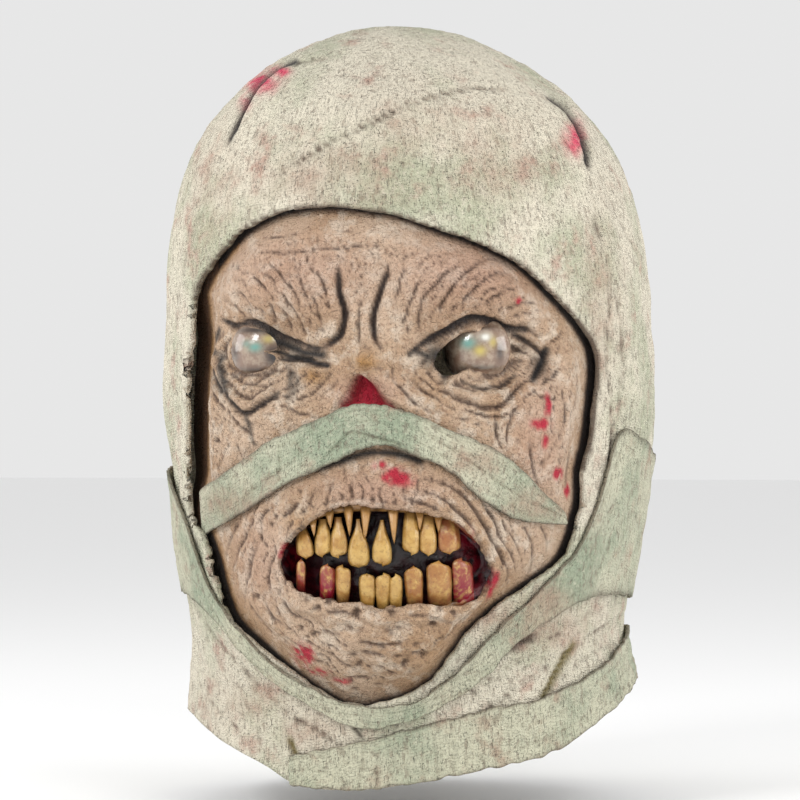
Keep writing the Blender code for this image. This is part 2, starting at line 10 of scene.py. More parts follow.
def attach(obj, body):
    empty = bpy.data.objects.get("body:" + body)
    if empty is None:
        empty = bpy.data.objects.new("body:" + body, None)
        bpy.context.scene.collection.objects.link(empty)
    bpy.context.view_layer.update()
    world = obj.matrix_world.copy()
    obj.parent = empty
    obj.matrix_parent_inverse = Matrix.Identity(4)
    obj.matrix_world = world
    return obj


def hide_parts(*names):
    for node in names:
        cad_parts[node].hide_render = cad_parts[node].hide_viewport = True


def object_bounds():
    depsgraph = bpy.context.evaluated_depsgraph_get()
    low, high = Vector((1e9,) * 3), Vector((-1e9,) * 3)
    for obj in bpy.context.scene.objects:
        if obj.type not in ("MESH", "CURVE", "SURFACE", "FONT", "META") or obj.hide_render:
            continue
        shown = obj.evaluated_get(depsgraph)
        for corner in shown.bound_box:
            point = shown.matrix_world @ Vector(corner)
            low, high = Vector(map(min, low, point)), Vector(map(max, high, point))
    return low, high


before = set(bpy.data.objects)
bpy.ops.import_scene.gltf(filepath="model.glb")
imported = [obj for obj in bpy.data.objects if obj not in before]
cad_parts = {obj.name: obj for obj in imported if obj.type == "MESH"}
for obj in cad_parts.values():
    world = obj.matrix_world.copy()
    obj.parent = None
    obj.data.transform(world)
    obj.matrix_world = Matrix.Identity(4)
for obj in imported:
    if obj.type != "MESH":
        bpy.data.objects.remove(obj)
cad_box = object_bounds()

# Camera: level, a little to the viewer's right of the nose, 1.5 m off with a long lens. Marks on
# the latex are placed below by pixels of the picture, which is 800 pixels wide.
PICTURE_SIDE = 800
SENSOR_WIDTH = 36.0
LENS = 164.6
VIEW_DISTANCE = 1.5
VIEW_TURN = math.radians(8.0)
AIM_LEFT = 0.0045
AIM_HEIGHT = -0.1503

view_right = np.array((math.cos(VIEW_TURN), math.sin(VIEW_TURN), 0.0))
view_back = np.array((math.sin(VIEW_TURN), -math.cos(VIEW_TURN), 0.0))
view_place = np.array((0.0, 0.0, AIM_HEIGHT)) - AIM_LEFT * view_right + VIEW_DISTANCE * view_back


def seen_at(places):
    """Pixels of the picture at which places in metres are seen."""
    away = places - view_place
    scale = LENS / SENSOR_WIDTH * PICTURE_SIDE / -(away @ view_back)
    return np.stack((PICTURE_SIDE / 2 + away @ view_right * scale,
                     PICTURE_SIDE / 2 - away[..., 2] * scale), axis=-1)


camera = bpy.data.objects.new("camera", bpy.data.cameras.new("camera"))
bpy.context.scene.collection.objects.link(camera)
camera.data.lens = LENS
camera.data.sensor_width = SENSOR_WIDTH
camera.location = view_place
camera.rotation_euler = (math.radians(90), 0.0, VIEW_TURN)
bpy.context.scene.camera = camera
bpy.context.scene.view_settings.view_transform = "Standard"

# Hood: one cast latex shell that looks like a head wound in old gauze. Its form is the packed
# hood's, with the turns of cloth, the two slashes and the crepe of the threads worked over it.
MASK_HEIGHT = 0.300
HALF_WIDTH = 0.100
FRONT_REACH = 0.110
BACK_REACH = 0.117
HOOD_WALL = 0.0022
CROWN_TOP = HOOD_WALL
NECK_START = 0.610
FOLD_RISE = 0.0022
MM = 0.001
# Where the crown's relief fades in, as a drop, and the two scales that unroll the sides and back.
CROWN_FADE = 0.02
MM_PER_DEGREE = 1.75
MM_OF_DROP = 300
# Place in pixels of all that the camera can't see, and reach of the net's snap to an outline.
OUT_OF_SIGHT = -500.0
OPENING_SNAP = 1.9
# Swollen lips beside a groove, and the undercut below a turn's edge.
LIP_SHARE = 0.42
LIP_SPREAD = 2.3
UNDERCUT = 0.35
EDGE_PIXELS = 1.5
MOTTLE_SIDE = 32
RIM_ROUNDS = 3
# Rows of the head form: drop, half width, front, back, lean, as shares of the sizes above.
SECTIONS = (
    (0.000, 0.000, 0.000, 0.000, -0.055), (0.008, 0.200, 0.245, 0.231, -0.055),
    (0.030, 0.380, 0.436, 0.410, -0.055), (0.070, 0.580, 0.645, 0.615, -0.044),
    (0.133, 0.780, 0.836, 0.803, -0.038), (0.210, 0.900, 0.936, 0.923, -0.030),
    (0.310, 0.973, 0.991, 0.991, -0.014), (0.410, 0.988, 1.000, 1.000, -0.006),
    (0.510, 0.995, 0.991, 0.957, 0.000), (0.610, 0.968, 1.000, 0.872, 0.000),
    (0.713, 0.930, 1.000, 0.769, -0.010), (0.810, 0.880, 0.936, 0.692, -0.010),
    (0.883, 0.905, 0.818, 0.675, 0.000), (0.963, 0.920, 0.782, 0.684, 0.000),
    (1.050, 0.915, 0.800, 0.700, 0.000))
# Hem: bearing in degrees from the nose towards the viewer's right, drop.
HEM = (
    (-180, 0.980), (-120, 0.955), (-90, 0.932), (-69, 0.931), (-50, 0.955), (-32, 0.984), (-20, 1.010),
    (-2, 1.010), (12, 0.997), (26, 0.984), (43, 0.967), (63, 0.924), (94, 0.881), (120, 0.900),
    (150, 0.945), (180, 0.980))
# Broad folds: bearing and drop at both ends, width of HALF_WIDTH, rise of FOLD_RISE.
HOOD_FOLDS = (
    (62, 0.330, 74, 0.560, 0.13, 0.8), (-66, 0.300, -74, 0.540, 0.12, 0.6),
    (-30, 0.235, 6, 0.150, 0.16, 0.5), (6, 0.150, 58, 0.115, 0.16, 0.5),
    (100, 0.180, 175, 0.420, 0.22, 0.8), (-100, 0.200, -170, 0.500, 0.22, 0.8),
    (130, 0.480, 185, 0.300, 0.18, -0.5), (-120, 0.330, -175, 0.250, 0.18, -0.5))
# Edge of the face opening, in pixels, clockwise from the middle of the forehead.
OPENING = (
    (363, 210), (395, 214), (431, 227), (473, 241), (507, 256), (528, 269), (553, 293), (577, 318),
    (591, 338), (597, 354), (598, 381), (595, 404), (591, 442), (584, 470), (582, 508), (566, 556),
    (530, 585), (490, 613), (470, 632), (450, 657), (432, 680), (410, 694), (380, 703), (352, 706),
    (327, 697), (290, 673), (260, 648), (230, 620), (220, 596), (210, 561), (202, 537), (190, 516),
    (186, 470), (187, 400), (190, 340), (194, 300), (199, 283), (210, 266), (237, 234), (273, 214),
    (321, 206))
# Raised edges of turns of gauze on the front, in pixels: rise in mm, fade in pixels, path. The
# raised side is on the right hand of the path.
FRONT_LEDGES = (
    (0.9, 34, ((549, 97), (510, 90), (465, 88), (410, 103), (361, 128), (322, 146), (282, 172),
               (261, 200),
               (238, 231))),
    (0.7, 20, ((330, 58), (300, 62), (270, 84))),
    (0.6, 18, ((600, 175), (575, 150), (555, 138))),
    (0.8, 16, ((610, 470), (622, 380), (618, 300), (600, 232), (588, 180))),
    (0.7, 12, ((176, 440), (174, 360), (180, 290), (195, 235), (214, 190))),
    (0.9, 12, ((634, 520), (612, 560), (560, 610), (500, 650), (440, 715))),
    (0.8, 12, ((640, 600), (608, 622), (541, 668), (486, 708), (452, 725))),
    (0.8, 14, ((184, 560), (196, 610), (225, 650), (262, 690), (300, 724), (345, 749))))
# Grooves on the front: depth in mm, half width in pixels, path.
FRONT_GROOVES = (
    (3.4, 3.0, ((297, 61), (276, 70), (257, 88), (242, 115), (228, 143))),
    (3.6, 3.2, ((549, 97), (563, 106), (576, 124), (583, 145), (588, 168))),
    (1.6, 3.0, ((330, 697), (343, 700), (354, 725), (364, 741))),
    (1.0, 2.0, ((272, 722), (302, 722), (327, 737), (345, 749))),
    (1.8, 3.5, ((290, 740), (294, 752), (299, 764))),
    (2.0, 3.0, ((543, 697), (553, 679), (572, 645))),
    (2.4, 5.0, ((471, 660), (517, 645), (534, 636))),
    (0.8, 1.8, ((195, 688), (226, 719), (250, 737), (272, 743))),
    (0.7, 2.0, ((608, 596), (578, 621), (541, 645), (486, 682), (440, 715))),
    (0.7, 2.0, ((622, 640), (590, 655), (548, 690), (520, 712))),
    (0.6, 1.8, ((600, 180), (615, 215), (640, 260))),
    (0.9, 2.0, ((610, 300), (606, 360), (612, 430), (604, 500))))
# Edges of turns on the sides and back: rise in mm, fade in mm, then bearing and drop.
BACK_LEDGES = (
    (0.9, 9, ((80, 0.20), (120, 0.26), (160, 0.33), (200, 0.37), (240, 0.35), (280, 0.28))),
    (0.9, 9, ((85, 0.50), (120, 0.46), (160, 0.38), (200, 0.30), (240, 0.22), (275, 0.16))),
    (0.8, 8, ((85, 0.40), (130, 0.47), (175, 0.53), (220, 0.56), (275, 0.55))),
    (0.8, 8, ((80, 0.62), (130, 0.57), (180, 0.60), (230, 0.66), (280, 0.63))),
    (0.8, 8, ((90, 0.08), (130, 0.13), (175, 0.17), (220, 0.15), (270, 0.09))))


def shade(red, green, blue):
    """Linear colour with alpha of a paint swatch given from 0 to 255."""
    return tuple((value / 255) ** 2.2 for value in (red, green, blue)) + (1.0,)


def smooth_step(value):
    value = np.clip(value, 0.0, 1.0)
    return value * value * (3 - 2 * value)


def smooth_line(points, steps=4, closed=False):
    """Points on a smooth curve through the given ones, steps to each stretch."""
    points = np.array(points, float)
    count = len(points)
    rows = np.arange(count if closed else count - 1)
    pick = (lambda k: points[k % count]) if closed else (lambda k: points[np.clip(k, 0, count - 1)])
    before, start, end, after = (pick(rows + k)[:, None] for k in (-1, 0, 1, 2))
    share = (np.arange(steps) / steps)[None, :, None]
    curve = 0.5 * (2 * start + (end - before) * share
                   + (2 * before - 5 * start + 4 * end - after) * share ** 2
                   + (3 * start - before - 3 * end + after) * share ** 3)
    curve = curve.reshape(-1, points.shape[1])
    return curve if closed else np.vstack((curve, points[-1:]))


mirrored = np.array(SECTIONS[1]) * (1, -1, -1, -1, 1)
form = smooth_line(np.vstack((mirrored, SECTIONS)), 40)[40:]
form_length = np.concatenate(((0.0,), np.cumsum(np.hypot(
    np.diff(form[:, 1]) * HALF_WIDTH, np.diff(form[:, 0]) * MASK_HEIGHT))))


def on_form(bearing, drop, lift=0.0):
    """Places round the head form at bearings in radians, moved level outwards by lift."""
    half, front, back, lean = (np.interp(drop, form[:, 0], form[:, k]) for k in (1, 2, 3, 4))
    reach = np.where(np.cos(bearing) > 0, front * FRONT_REACH, back * BACK_REACH)
    return np.stack((lean * HALF_WIDTH + (half * HALF_WIDTH + lift) * np.sin(bearing),
                     -(reach + lift) * np.cos(bearing),
                     CROWN_TOP - drop * MASK_HEIGHT + 0 * bearing), axis=-1)


def fold_lift(bearing, drop):
    """Height of the broad folds over the head form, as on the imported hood."""
    here = on_form(bearing, drop)
    height = 0.0
    for bearing_a, drop_a, bearing_b, drop_b, wide, rise in HOOD_FOLDS:
        start = on_form(math.radians(bearing_a), drop_a)
        along = on_form(math.radians(bearing_b), drop_b) - start
        share = np.clip((here - start) @ along / (along @ along), 0.0, 1.0)
        bow = on_form(np.radians(bearing_a + (bearing_b - bearing_a) * share),
                      drop_a + (drop_b - drop_a) * share)
        away = np.linalg.norm(here - bow, axis=-1)
        height = height + rise * FOLD_RISE * np.exp(-(away / (wide * HALF_WIDTH)) ** 2)
    return height


def from_path(spots, path, reach):
    """Distance from a drawn path, side of it and share along it, for spots within reach."""
    path = smooth_line(path, 4)
    near = ((spots > path.min(0) - reach) & (spots < path.max(0) + reach)).all(-1)
    here = spots[near]
    best = np.full(len(here), 1e9)
    side, share = np.ones(len(here)), np.zeros(len(here))
    for k, (start, end) in enumerate(zip(path, path[1:])):
        along = end - start
        part = np.clip((here - start) @ along / (along @ along), 0.0, 1.0)
        away = here - start - part[:, None] * along
        gap = np.hypot(away[:, 0], away[:, 1])
        closer = gap < best
        best[closer] = gap[closer]
        side[closer] = np.sign(along[0] * away[closer, 1] - along[1] * away[closer, 0])
        share[closer] = (k + part[closer]) / (len(path) - 1)
    return near, best, side, share


def tapered(share):
    """Strength along a drawn path, fading at both of its ends."""
    return np.clip(np.sin(np.pi * np.clip(share, 0.03, 0.97)), 0, 1) ** 0.5


def fading(share, width):
    """Strength that is 1 where a share is 0 and fades over a width."""
    return np.exp(-(share / width) ** 2)


def strokes(spots, table):
    """Sum of drawn grooves with swelling lips: depth, half width, path in each row."""
    height = np.zeros(spots.shape[:-1])
    for depth, width, path in table:
        near, gap, _, share = from_path(spots, path, 5 * width)
        lips = LIP_SHARE * np.exp(-(gap / width / LIP_SPREAD) ** 2)
        height[near] -= depth * tapered(share) * (np.exp(-(gap / width) ** 2) - lips)
    return height


def ledges(spots, table):
    """Sum of raised cloth edges: rise, fade and path in each row."""
    height = np.zeros(spots.shape[:-1])
    for rise, fade, path in table:
        near, gap, side, share = from_path(spots, path, 4 * fade)
        ends = tapered(share)
        signed = gap * side
        raised = rise * ends * np.where(signed > 0, np.exp(-signed / fade), 0.0)
        height[near] += raised * smooth_step(gap / EDGE_PIXELS) - (
            UNDERCUT * rise * ends * np.exp(-((signed + EDGE_PIXELS) / EDGE_PIXELS) ** 2))
    return height


def blots(spots, table):
    """Strongest of drawn spots: pixel, half width, half height and strength in each row."""
    strength = np.zeros(spots.shape[:-1])
    for x, y, wide, tall, amount in table:
        strength = np.maximum(strength, amount * np.exp(
            -((spots[..., 0] - x) / wide) ** 2 - ((spots[..., 1] - y) / tall) ** 2))
    return strength


def lines(spots, table):
    """Strongest of drawn paint lines: strength, half width, path in each row."""
    strength = np.zeros(spots.shape[:-1])
    for amount, width, path in table:
        near, gap, _, _ = from_path(spots, path, 4 * width)
        strength[near] = np.maximum(strength[near], amount * np.exp(-(gap / width) ** 2))
    return strength


def mottle(places, grain, seed):
    """Smooth random values from -1 to 1, with lumps one grain across."""
    cell = places / np.array(grain)
    low = np.floor(cell).astype(int)
    part = smooth_step(cell - low)
    table = np.random.default_rng(seed).uniform(-1, 1, (MOTTLE_SIDE,) * 3)
    total = 0.0
    for i, j, k in itertools.product((0, 1), repeat=3):
        weight = abs(1 - i - part[..., 0]) * abs(1 - j - part[..., 1]) * abs(1 - k - part[..., 2])
        spot = (low + (i, j, k)) % MOTTLE_SIDE
        total = total + weight * table[spot[..., 0], spot[..., 1], spot[..., 2]]
    return total


def outline_gap(spots, line):
    """Signed distance to a closed line, positive inside, and the nearest point on it."""
    best = np.full(spots.shape[:-1], 1e9)
    nearest = np.zeros(spots.shape)
    inside = np.zeros(spots.shape[:-1], bool)
    for start, end in zip(line, np.roll(line, -1, axis=0)):
        along = end - start
        part = np.clip((spots - start) @ along / (along @ along), 0.0, 1.0)
        point = start + part[..., None] * along
        gap = np.hypot(*np.moveaxis(spots - point, -1, 0))
        closer = gap < best
        best[closer] = gap[closer]
        nearest[closer] = point[closer]
        if start[1] != end[1]:
            crosses = (start[1] > spots[..., 1]) != (end[1] > spots[..., 1])
            edge_x = start[0] + (spots[..., 1] - start[1]) * along[0] / along[1]
            inside ^= crosses & (spots[..., 0] < edge_x)
    return np.where(inside, best, -best), nearest


def snap(bearing, drop, spots, line, cell):
    """Bearings and drops moved so that the net's nearest corners lie on a closed line."""
    gap, nearest = outline_gap(spots, line)
    move = np.where((abs(gap) < cell)[..., None], nearest - spots, 0.0)
    per_bearing = np.gradient(spots, axis=1) / np.gradient(bearing, axis=1)[..., None]
    per_drop = np.gradient(spots, axis=0) / np.gradient(drop, axis=0)[..., None]
    size = per_bearing[..., 0] * per_drop[..., 1] - per_bearing[..., 1] * per_drop[..., 0]
    turn = (move[..., 0] * per_drop[..., 1] - move[..., 1] * per_drop[..., 0]) / size
    fall = (move[..., 1] * per_bearing[..., 0] - move[..., 0] * per_bearing[..., 1]) / size
    return bearing + turn, drop + fall


def face_outwards(places):
    """Outward directions over a net of places whose columns go round and whose rows go down."""
    across = np.gradient(places, axis=1)
    down = np.gradient(places, axis=0)
    out = np.cross(down, across)
    return out / np.maximum(np.linalg.norm(out, axis=-1, keepdims=True), 1e-12)


def blurred(field, rounds):
    """Field over a net, evened out with its neighbours."""
    for _ in range(rounds):
        wide = np.pad(field, 1, mode="edge")
        field = (wide[:-2, 1:-1] + wide[2:, 1:-1] + wide[1:-1, :-2] + wide[1:-1, 2:] + 2 * field) / 6
    return field


def smooth_piece(name, net, wall=0.0):
    """Smoothly shaded piece made of a net, thickened inwards where a wall is given."""
    mesh = bpy.data.meshes.new(name)
    net.to_mesh(mesh)
    net.free()
    mesh.polygons.foreach_set("use_smooth", [True] * len(mesh.polygons))
    piece = bpy.data.objects.new(name, mesh)
    bpy.context.scene.collection.objects.link(piece)
    if wall:
        shell = piece.modifiers.new("wall", "SOLIDIFY")
        shell.thickness = wall
        shell.offset = -1.0
    return piece


def net_piece(name, places, marks, left_out=None, closed=False, wall=0.0):
    """Piece over a net of places with painted marks, its cells left out where told."""
    rows, columns = places.shape[:2]
    net = bmesh.new()
    bmesh.ops.create_grid(net, x_segments=columns - 1, y_segments=rows - 1, size=1.0)
    layers = [(net.verts.layers.float.new(key), np.broadcast_to(value, (rows, columns)))
              for key, value in marks.items()]
    threads = net.loops.layers.uv.new("threads")
    step_x = np.linalg.norm(np.diff(places, axis=1, prepend=places[:, :1]), axis=-1)
    step_y = np.linalg.norm(np.diff(places, axis=0, prepend=places[:1]), axis=-1)
    along = np.cumsum(step_x.mean(axis=0))[None, :] + 0 * step_x
    fall = np.cumsum(step_y, axis=0)
    unwanted = []
    for face in net.faces:
        middle = face.calc_center_median()
        row = int((middle.y + 1) / 2 * (rows - 1))
        column = int((middle.x + 1) / 2 * (columns - 1))
        if left_out is not None and left_out[row, column]:
            unwanted.append(face)
            continue
        for loop in face.loops:
            j = round((loop.vert.co.x + 1) / 2 * (columns - 1))
            i = round((loop.vert.co.y + 1) / 2 * (rows - 1))
            loop[threads].uv = (along[i, j], fall[i, j])
    for vert in net.verts:
        j = round((vert.co.x + 1) / 2 * (columns - 1))
        i = round((vert.co.y + 1) / 2 * (rows - 1))
        vert.co = places[i, j]
        for layer, values in layers:
            vert[layer] = values[i, j]
    bmesh.ops.delete(net, geom=unwanted, context="FACES")
    bmesh.ops.reverse_faces(net, faces=net.faces)
    if closed:
        bmesh.ops.remove_doubles(net, verts=net.verts, dist=0.02 * MM)
    rims = {}
    for edge in net.edges:
        if edge.is_boundary:
            for vert in edge.verts:
                rims.setdefault(vert, []).append(edge.other_vert(vert))
    for _ in range(RIM_ROUNDS):
        moved = {vert: vert.co / 2 + (ends[0].co + ends[1].co) / 4
                 for vert, ends in rims.items() if len(ends) == 2}
        for vert, place in moved.items():
            vert.co = place
    return smooth_piece(name, net, wall)


def new_finish(name, roughness, sheen=0.0):
    """New finish: its material, its node tree and its shader."""
    finish = bpy.data.materials.new(name)
    finish.use_nodes = True
    tree = finish.node_tree
    shader = tree.nodes["Principled BSDF"]
    shader.inputs["Roughness"].default_value = roughness
    shader.inputs["Sheen Weight"].default_value = sheen
    return finish, tree, shader


def grain(tree, size, detail=4.0, roughness=0.6, stretch=(1.0, 1.0, 1.0)):
    """Noise socket from 0 to 1 with lumps of this size in metres."""
    spot = tree.nodes.new("ShaderNodeTexCoord")
    mapping = tree.nodes.new("ShaderNodeMapping")
    mapping.inputs["Scale"].default_value = stretch
    cloud = tree.nodes.new("ShaderNodeTexNoise")
    cloud.inputs["Scale"].default_value = 1.0 / size
    cloud.inputs["Detail"].default_value = detail
    cloud.inputs["Roughness"].default_value = roughness
    tree.links.new(spot.outputs["Object"], mapping.inputs["Vector"])
    tree.links.new(mapping.outputs["Vector"], cloud.inputs["Vector"])
    return cloud.outputs["Fac"]


def between(tree, value, low, high):
    """Socket that goes from 0 to 1 as another goes from low to high."""
    node = tree.nodes.new("ShaderNodeMapRange")
    node.interpolation_type = "SMOOTHSTEP"
    node.inputs["From Min"].default_value = low
    node.inputs["From Max"].default_value = high
    tree.links.new(value, node.inputs["Value"])
    return node.outputs["Result"]


def reckon(tree, kind, first, second):
    """Sum, product and the like of a socket with a socket or a number."""
    node = tree.nodes.new("ShaderNodeMath")
    node.operation = kind
    for value, socket in zip((first, second), node.inputs):
        if isinstance(value, (int, float)):
            socket.default_value = value
        else:
            tree.links.new(value, socket)
    return node.outputs["Value"]


def mark(tree, name):
    """Socket of a mark painted on the piece."""
    node = tree.nodes.new("ShaderNodeAttribute")
    node.attribute_name = name
    return node.outputs["Fac"]


def paint(tree, share, under, over):
    """Colour socket with one paint over another by a share."""
    node = tree.nodes.new("ShaderNodeMix")
    node.data_type = "RGBA"
    node.blend_type = "MIX"
    tree.links.new(share, node.inputs["Factor"])
    for value, socket in ((under, node.inputs["A"]), (over, node.inputs["B"])):
        sockets = [s for s in node.inputs if s.name == socket.name and s.type == "RGBA"]
        if isinstance(value, tuple):
            sockets[0].default_value = value
        else:
            tree.links.new(value, sockets[0])
    return next(s for s in node.outputs if s.type == "RGBA")


def relief(tree, shader, layers):
    """Bumps in the finish: height socket, distance in metres and strength for each."""
    last = None
    for height, distance, strength in layers:
        node = tree.nodes.new("ShaderNodeBump")
        node.inputs["Distance"].default_value = distance
        node.inputs["Strength"].default_value = strength
        tree.links.new(height, node.inputs["Height"])
        if last is not None:
            tree.links.new(last, node.inputs["Normal"])
        last = node.outputs["Normal"]
    tree.links.new(last, shader.inputs["Normal"])


def threads(tree, pitch, distortion):
    """Height socket of woven threads along the piece's own length and width."""
    spot = tree.nodes.new("ShaderNodeUVMap")
    spot.uv_map = "threads"
    made = []
    for direction in ("X", "Y"):
        wave = tree.nodes.new("ShaderNodeTexWave")
        wave.bands_direction = direction
        wave.inputs["Scale"].default_value = 0.314 / pitch
        wave.inputs["Distortion"].default_value = distortion
        wave.inputs["Detail"].default_value = 2.0
        wave.inputs["Detail Scale"].default_value = 1.5
        tree.links.new(spot.outputs["UV"], wave.inputs["Vector"])
        made.append(wave.outputs["Fac"])
    return reckon(tree, "ADD", made[0], made[1])


def gauze_finish(name, cream, green, rose, weave):
    """Painted latex cast from gauze: cream with washes of green-grey and brown-pink, painted shade in
    the hollows and painted shadow in the cuts.
    """
    finish, tree, shader = new_finish(name, 0.86, 0.05)
    large, middle, fine = grain(tree, 0.045), grain(tree, 0.014, 5), grain(tree, 0.0022, 3, 0.7)
    color = paint(tree, between(tree, large, 0.42, 0.66), cream, green)
    color = paint(tree, between(tree, middle, 0.52, 0.74), color, rose)
    crepe = grain(tree, 0.0021, 3, 0.6, (1.0, 1.0, 0.45))
    pale_and_glint = reckon(tree, "MULTIPLY", between(tree, fine, 0.5, 0.7), 0.6)
    color = paint(tree, pale_and_glint, color, cream)
    # Painted shade: darker brown in the hollows of the crepe that also bumps the surface.
    crepe_shade = reckon(tree, "MULTIPLY", between(tree, crepe, 0.46, 0.34), 0.45)
    color = paint(tree, crepe_shade, color, shade(120, 104, 90))
    speck = reckon(tree, "MULTIPLY", between(tree, grain(tree, 0.0013, 2, 0.8), 0.62, 0.70), 0.45)
    color = paint(tree, speck, color, shade(96, 76, 62))
    stain = reckon(tree, "MULTIPLY", mark(tree, "grime"), between(tree, middle, 0.25, 0.6))
    color = paint(tree, stain, color, shade(158, 128, 108))
    # Dark brown from the mark of wash and painted shade.
    color = paint(tree, mark(tree, "wash_and_shade"), color, shade(84, 64, 50))
    color = paint(tree, mark(tree, "olive"), color, shade(112, 100, 52))
    color = paint(tree, mark(tree, "blood"), color, shade(206, 62, 92))
    # Near black from the mark of painted shadow.
    color = paint(tree, mark(tree, "painted_shadow"), color, shade(20, 12, 10))
    tree.links.new(color, shader.inputs["Base Color"])
    relief(tree, shader, (
        (crepe, 0.0032, 0.9),
        (threads(tree, weave, 3.0), 0.0005, 0.5),
        (grain(tree, 0.0008, 2, 0.7), 0.0008, 0.6)))
    return finish


crown_rows, neck_rows = 132, 62
crown_length = np.interp(NECK_START, form[:, 0], form_length)
crown_drop = np.interp(np.linspace(0.0008, crown_length, crown_rows), form_length, form[:, 0])
front_columns = np.linspace(-97, 97, 208)
back_columns = np.linspace(97, 263, 46)[1:]
degrees = np.concatenate((front_columns, back_columns))
hem_line = smooth_line(np.array(HEM)[:, :2], 6)
hem_drop = np.interp((degrees + 180) % 360 - 180, hem_line[:, 0], hem_line[:, 1])
fall = np.linspace(0, 1, neck_rows + 1)[1:, None]
drop = np.vstack((np.repeat(crown_drop[:, None], len(degrees), 1),
                  NECK_START + (hem_drop[None] - NECK_START) * fall))
bearing = np.repeat(np.radians(degrees)[None], len(drop), 0)
opening = smooth_line(OPENING, 4, closed=True)
opening += mottle(np.pad(opening, ((0, 0), (0, 1))), 7.0, 3)[:, None] * (0.9, 0.9)
for _ in range(2):
    spots = seen_at(on_form(bearing, drop, fold_lift(bearing, drop)))
    front = (np.cos(bearing) > 0.2)[..., None]
    seen = np.where(front, spots, OUT_OF_SIGHT + spots * 1e-3)
    bearing, drop = snap(bearing, drop, seen, opening, OPENING_SNAP)
lift = fold_lift(bearing, drop)
plain = on_form(bearing, drop, lift)
spots = seen_at(plain)
out = face_outwards(plain)
faces_view = smooth_step((out @ view_back) / 0.12 + 0.3)
unrolled = np.stack((np.degrees(bearing) % 360 * MM_PER_DEGREE, drop * MM_OF_DROP), axis=-1)
back_table = [(rise, fade, [(turn * MM_PER_DEGREE, down * MM_OF_DROP) for turn, down in path])
              for rise, fade, path in BACK_LEDGES]
opening_gap, _ = outline_gap(spots, opening)
opening_gap = np.where(np.cos(bearing) > 0, opening_gap, -400.0)
height = 0.30 * mottle(plain, (0.0021, 0.0021, 0.0075), 11)
height += 0.20 * mottle(plain, 0.0028, 12) + 0.35 * mottle(plain, 0.012, 13)
height += 0.55 * mottle(plain, 0.030, 14)
height += faces_view * (strokes(spots, FRONT_GROOVES) + ledges(spots, FRONT_LEDGES))
height += ledges(unrolled, back_table) * (1 - smooth_step((np.cos(bearing) + 0.1) / 0.2))
height *= smooth_step(np.degrees(np.arcsin(np.clip(drop / CROWN_FADE, 0, 1))) / 30)
rim = np.exp(-((opening_gap + 2.5) / 3.0) ** 2) * (np.cos(bearing) > 0)
height += 0.35 * rim
# Painted shade, dark brown: in the hollows of the relief, and a line of painted shadow along the upper
# edge of the face opening.
cavity = blurred(height, 14) - height
wash_and_shade = smooth_step(cavity / 0.6 - 0.2) * 0.8
wash_and_shade = np.maximum(wash_and_shade, faces_view * lines(spots, (
    (0.8, 1.8, OPENING[-6:] + OPENING[:14]),)))
# Painted shadow, near black: inside the two slashes and two deep grooves low on the front.
painted_shadow = faces_view * lines(spots, (
    (1.0, 2.6, ((296, 62), (276, 71), (257, 88), (242, 115), (230, 140))),
    (1.0, 3.2, ((551, 99), (563, 107), (576, 124), (583, 145), (587, 164))),
    (0.5, 4.0, ((471, 660), (517, 645), (534, 636))),
    (0.6, 2.6, ((345, 702), (354, 725), (362, 738)))))
blood = faces_view * blots(spots, ((262, 84, 13, 9, 1.3), (280, 72, 9, 5, 1.2), (574, 138, 8, 15, 1.3),
                                   (246, 104, 6, 7, 0.8)))
blood = np.clip(blood * (0.9 + 0.7 * mottle(plain, 0.003, 15)), 0, 1)
olive = faces_view * lines(spots, (
    (0.9, 4.0, ((543, 697), (553, 679), (572, 645))), (0.8, 3.5, ((290, 740), (299, 764)))))
grime = faces_view * blots(spots, (
    (530, 622, 60, 26, 0.9), (330, 185, 70, 40, 0.55), (215, 200, 26, 70, 0.4),
    (600, 300, 22, 90, 0.45),
    (420, 130, 60, 50, 0.4), (500, 160, 50, 50, 0.45), (315, 730, 34, 16, 0.6),
    (250, 700, 50, 30, 0.35)))
grime = grime + 0.35 * smooth_step(mottle(plain, 0.035, 16) * 1.4) * (1 - faces_view)
pole = on_form(np.zeros(1), np.zeros(1))[0]
places = plain + out * height[..., None] * MM
places = np.concatenate((np.repeat(pole[None, None], len(degrees), 1), places))
places = np.concatenate((places, places[:, :1]), axis=1)
painted = {"wash_and_shade": wash_and_shade, "painted_shadow": painted_shadow, "blood": blood, "olive": olive, "grime": grime}
painted = {key: np.pad(value, ((1, 0), (0, 1)), mode="edge") for key, value in painted.items()}
cells = (opening_gap[:-1, :-1] + opening_gap[1:, :-1] + opening_gap[:-1, 1:] + opening_gap[1:, 1:]) / 4
left_out = np.pad(cells > 0, ((1, 0), (0, 1)))
hood = net_piece("hood_gauze", places, painted, left_out, closed=True, wall=HOOD_WALL)
gauze = gauze_finish("hood_gauze", shade(212, 204, 184), shade(176, 178, 152), shade(178, 148, 132),
                     0.0011)
hood.data.materials.append(gauze)
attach(hood, "root")
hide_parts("hood")

# Face: withered skin of painted latex, cast in one with the hood behind the edge of the gauze.
# Tan paint with a brown wash in the wrinkles, painted shade in hollows, painted shadow in sockets.
SKIN_WALL = 0.0020
SCULPT_DEPTH = 0.010
EDGE_SINK = 0.0023
LEFT_GAPE = 0.0040
EDGE_FADE = 0.0120
EYE_RADIUS = 0.0150
EYE_SINK = 0.0015
LID_STAND = 0.0009
# Left gape under the hood's edge: across, its fade, drop, half height. One pixel is PIXEL_MM wide.
GAPE_ACROSS = 0.55
GAPE_FADE = 0.2
GAPE_DROP = 0.51
GAPE_TALL = 0.07
PIXEL_MM = 0.38
# First guess and steps of the search for the place that is seen at a pixel.
GUESS_PIXEL = (371, 205)
GUESS_FALL = 0.0772
ACROSS_PER_PIXEL = 0.00375
FALL_PER_PIXEL = 0.000384
ACROSS_STEP = 0.0034
DROP_STEP = 0.0012
SEARCH_ROUNDS = 12
NOSE_DEPTH = 6.0
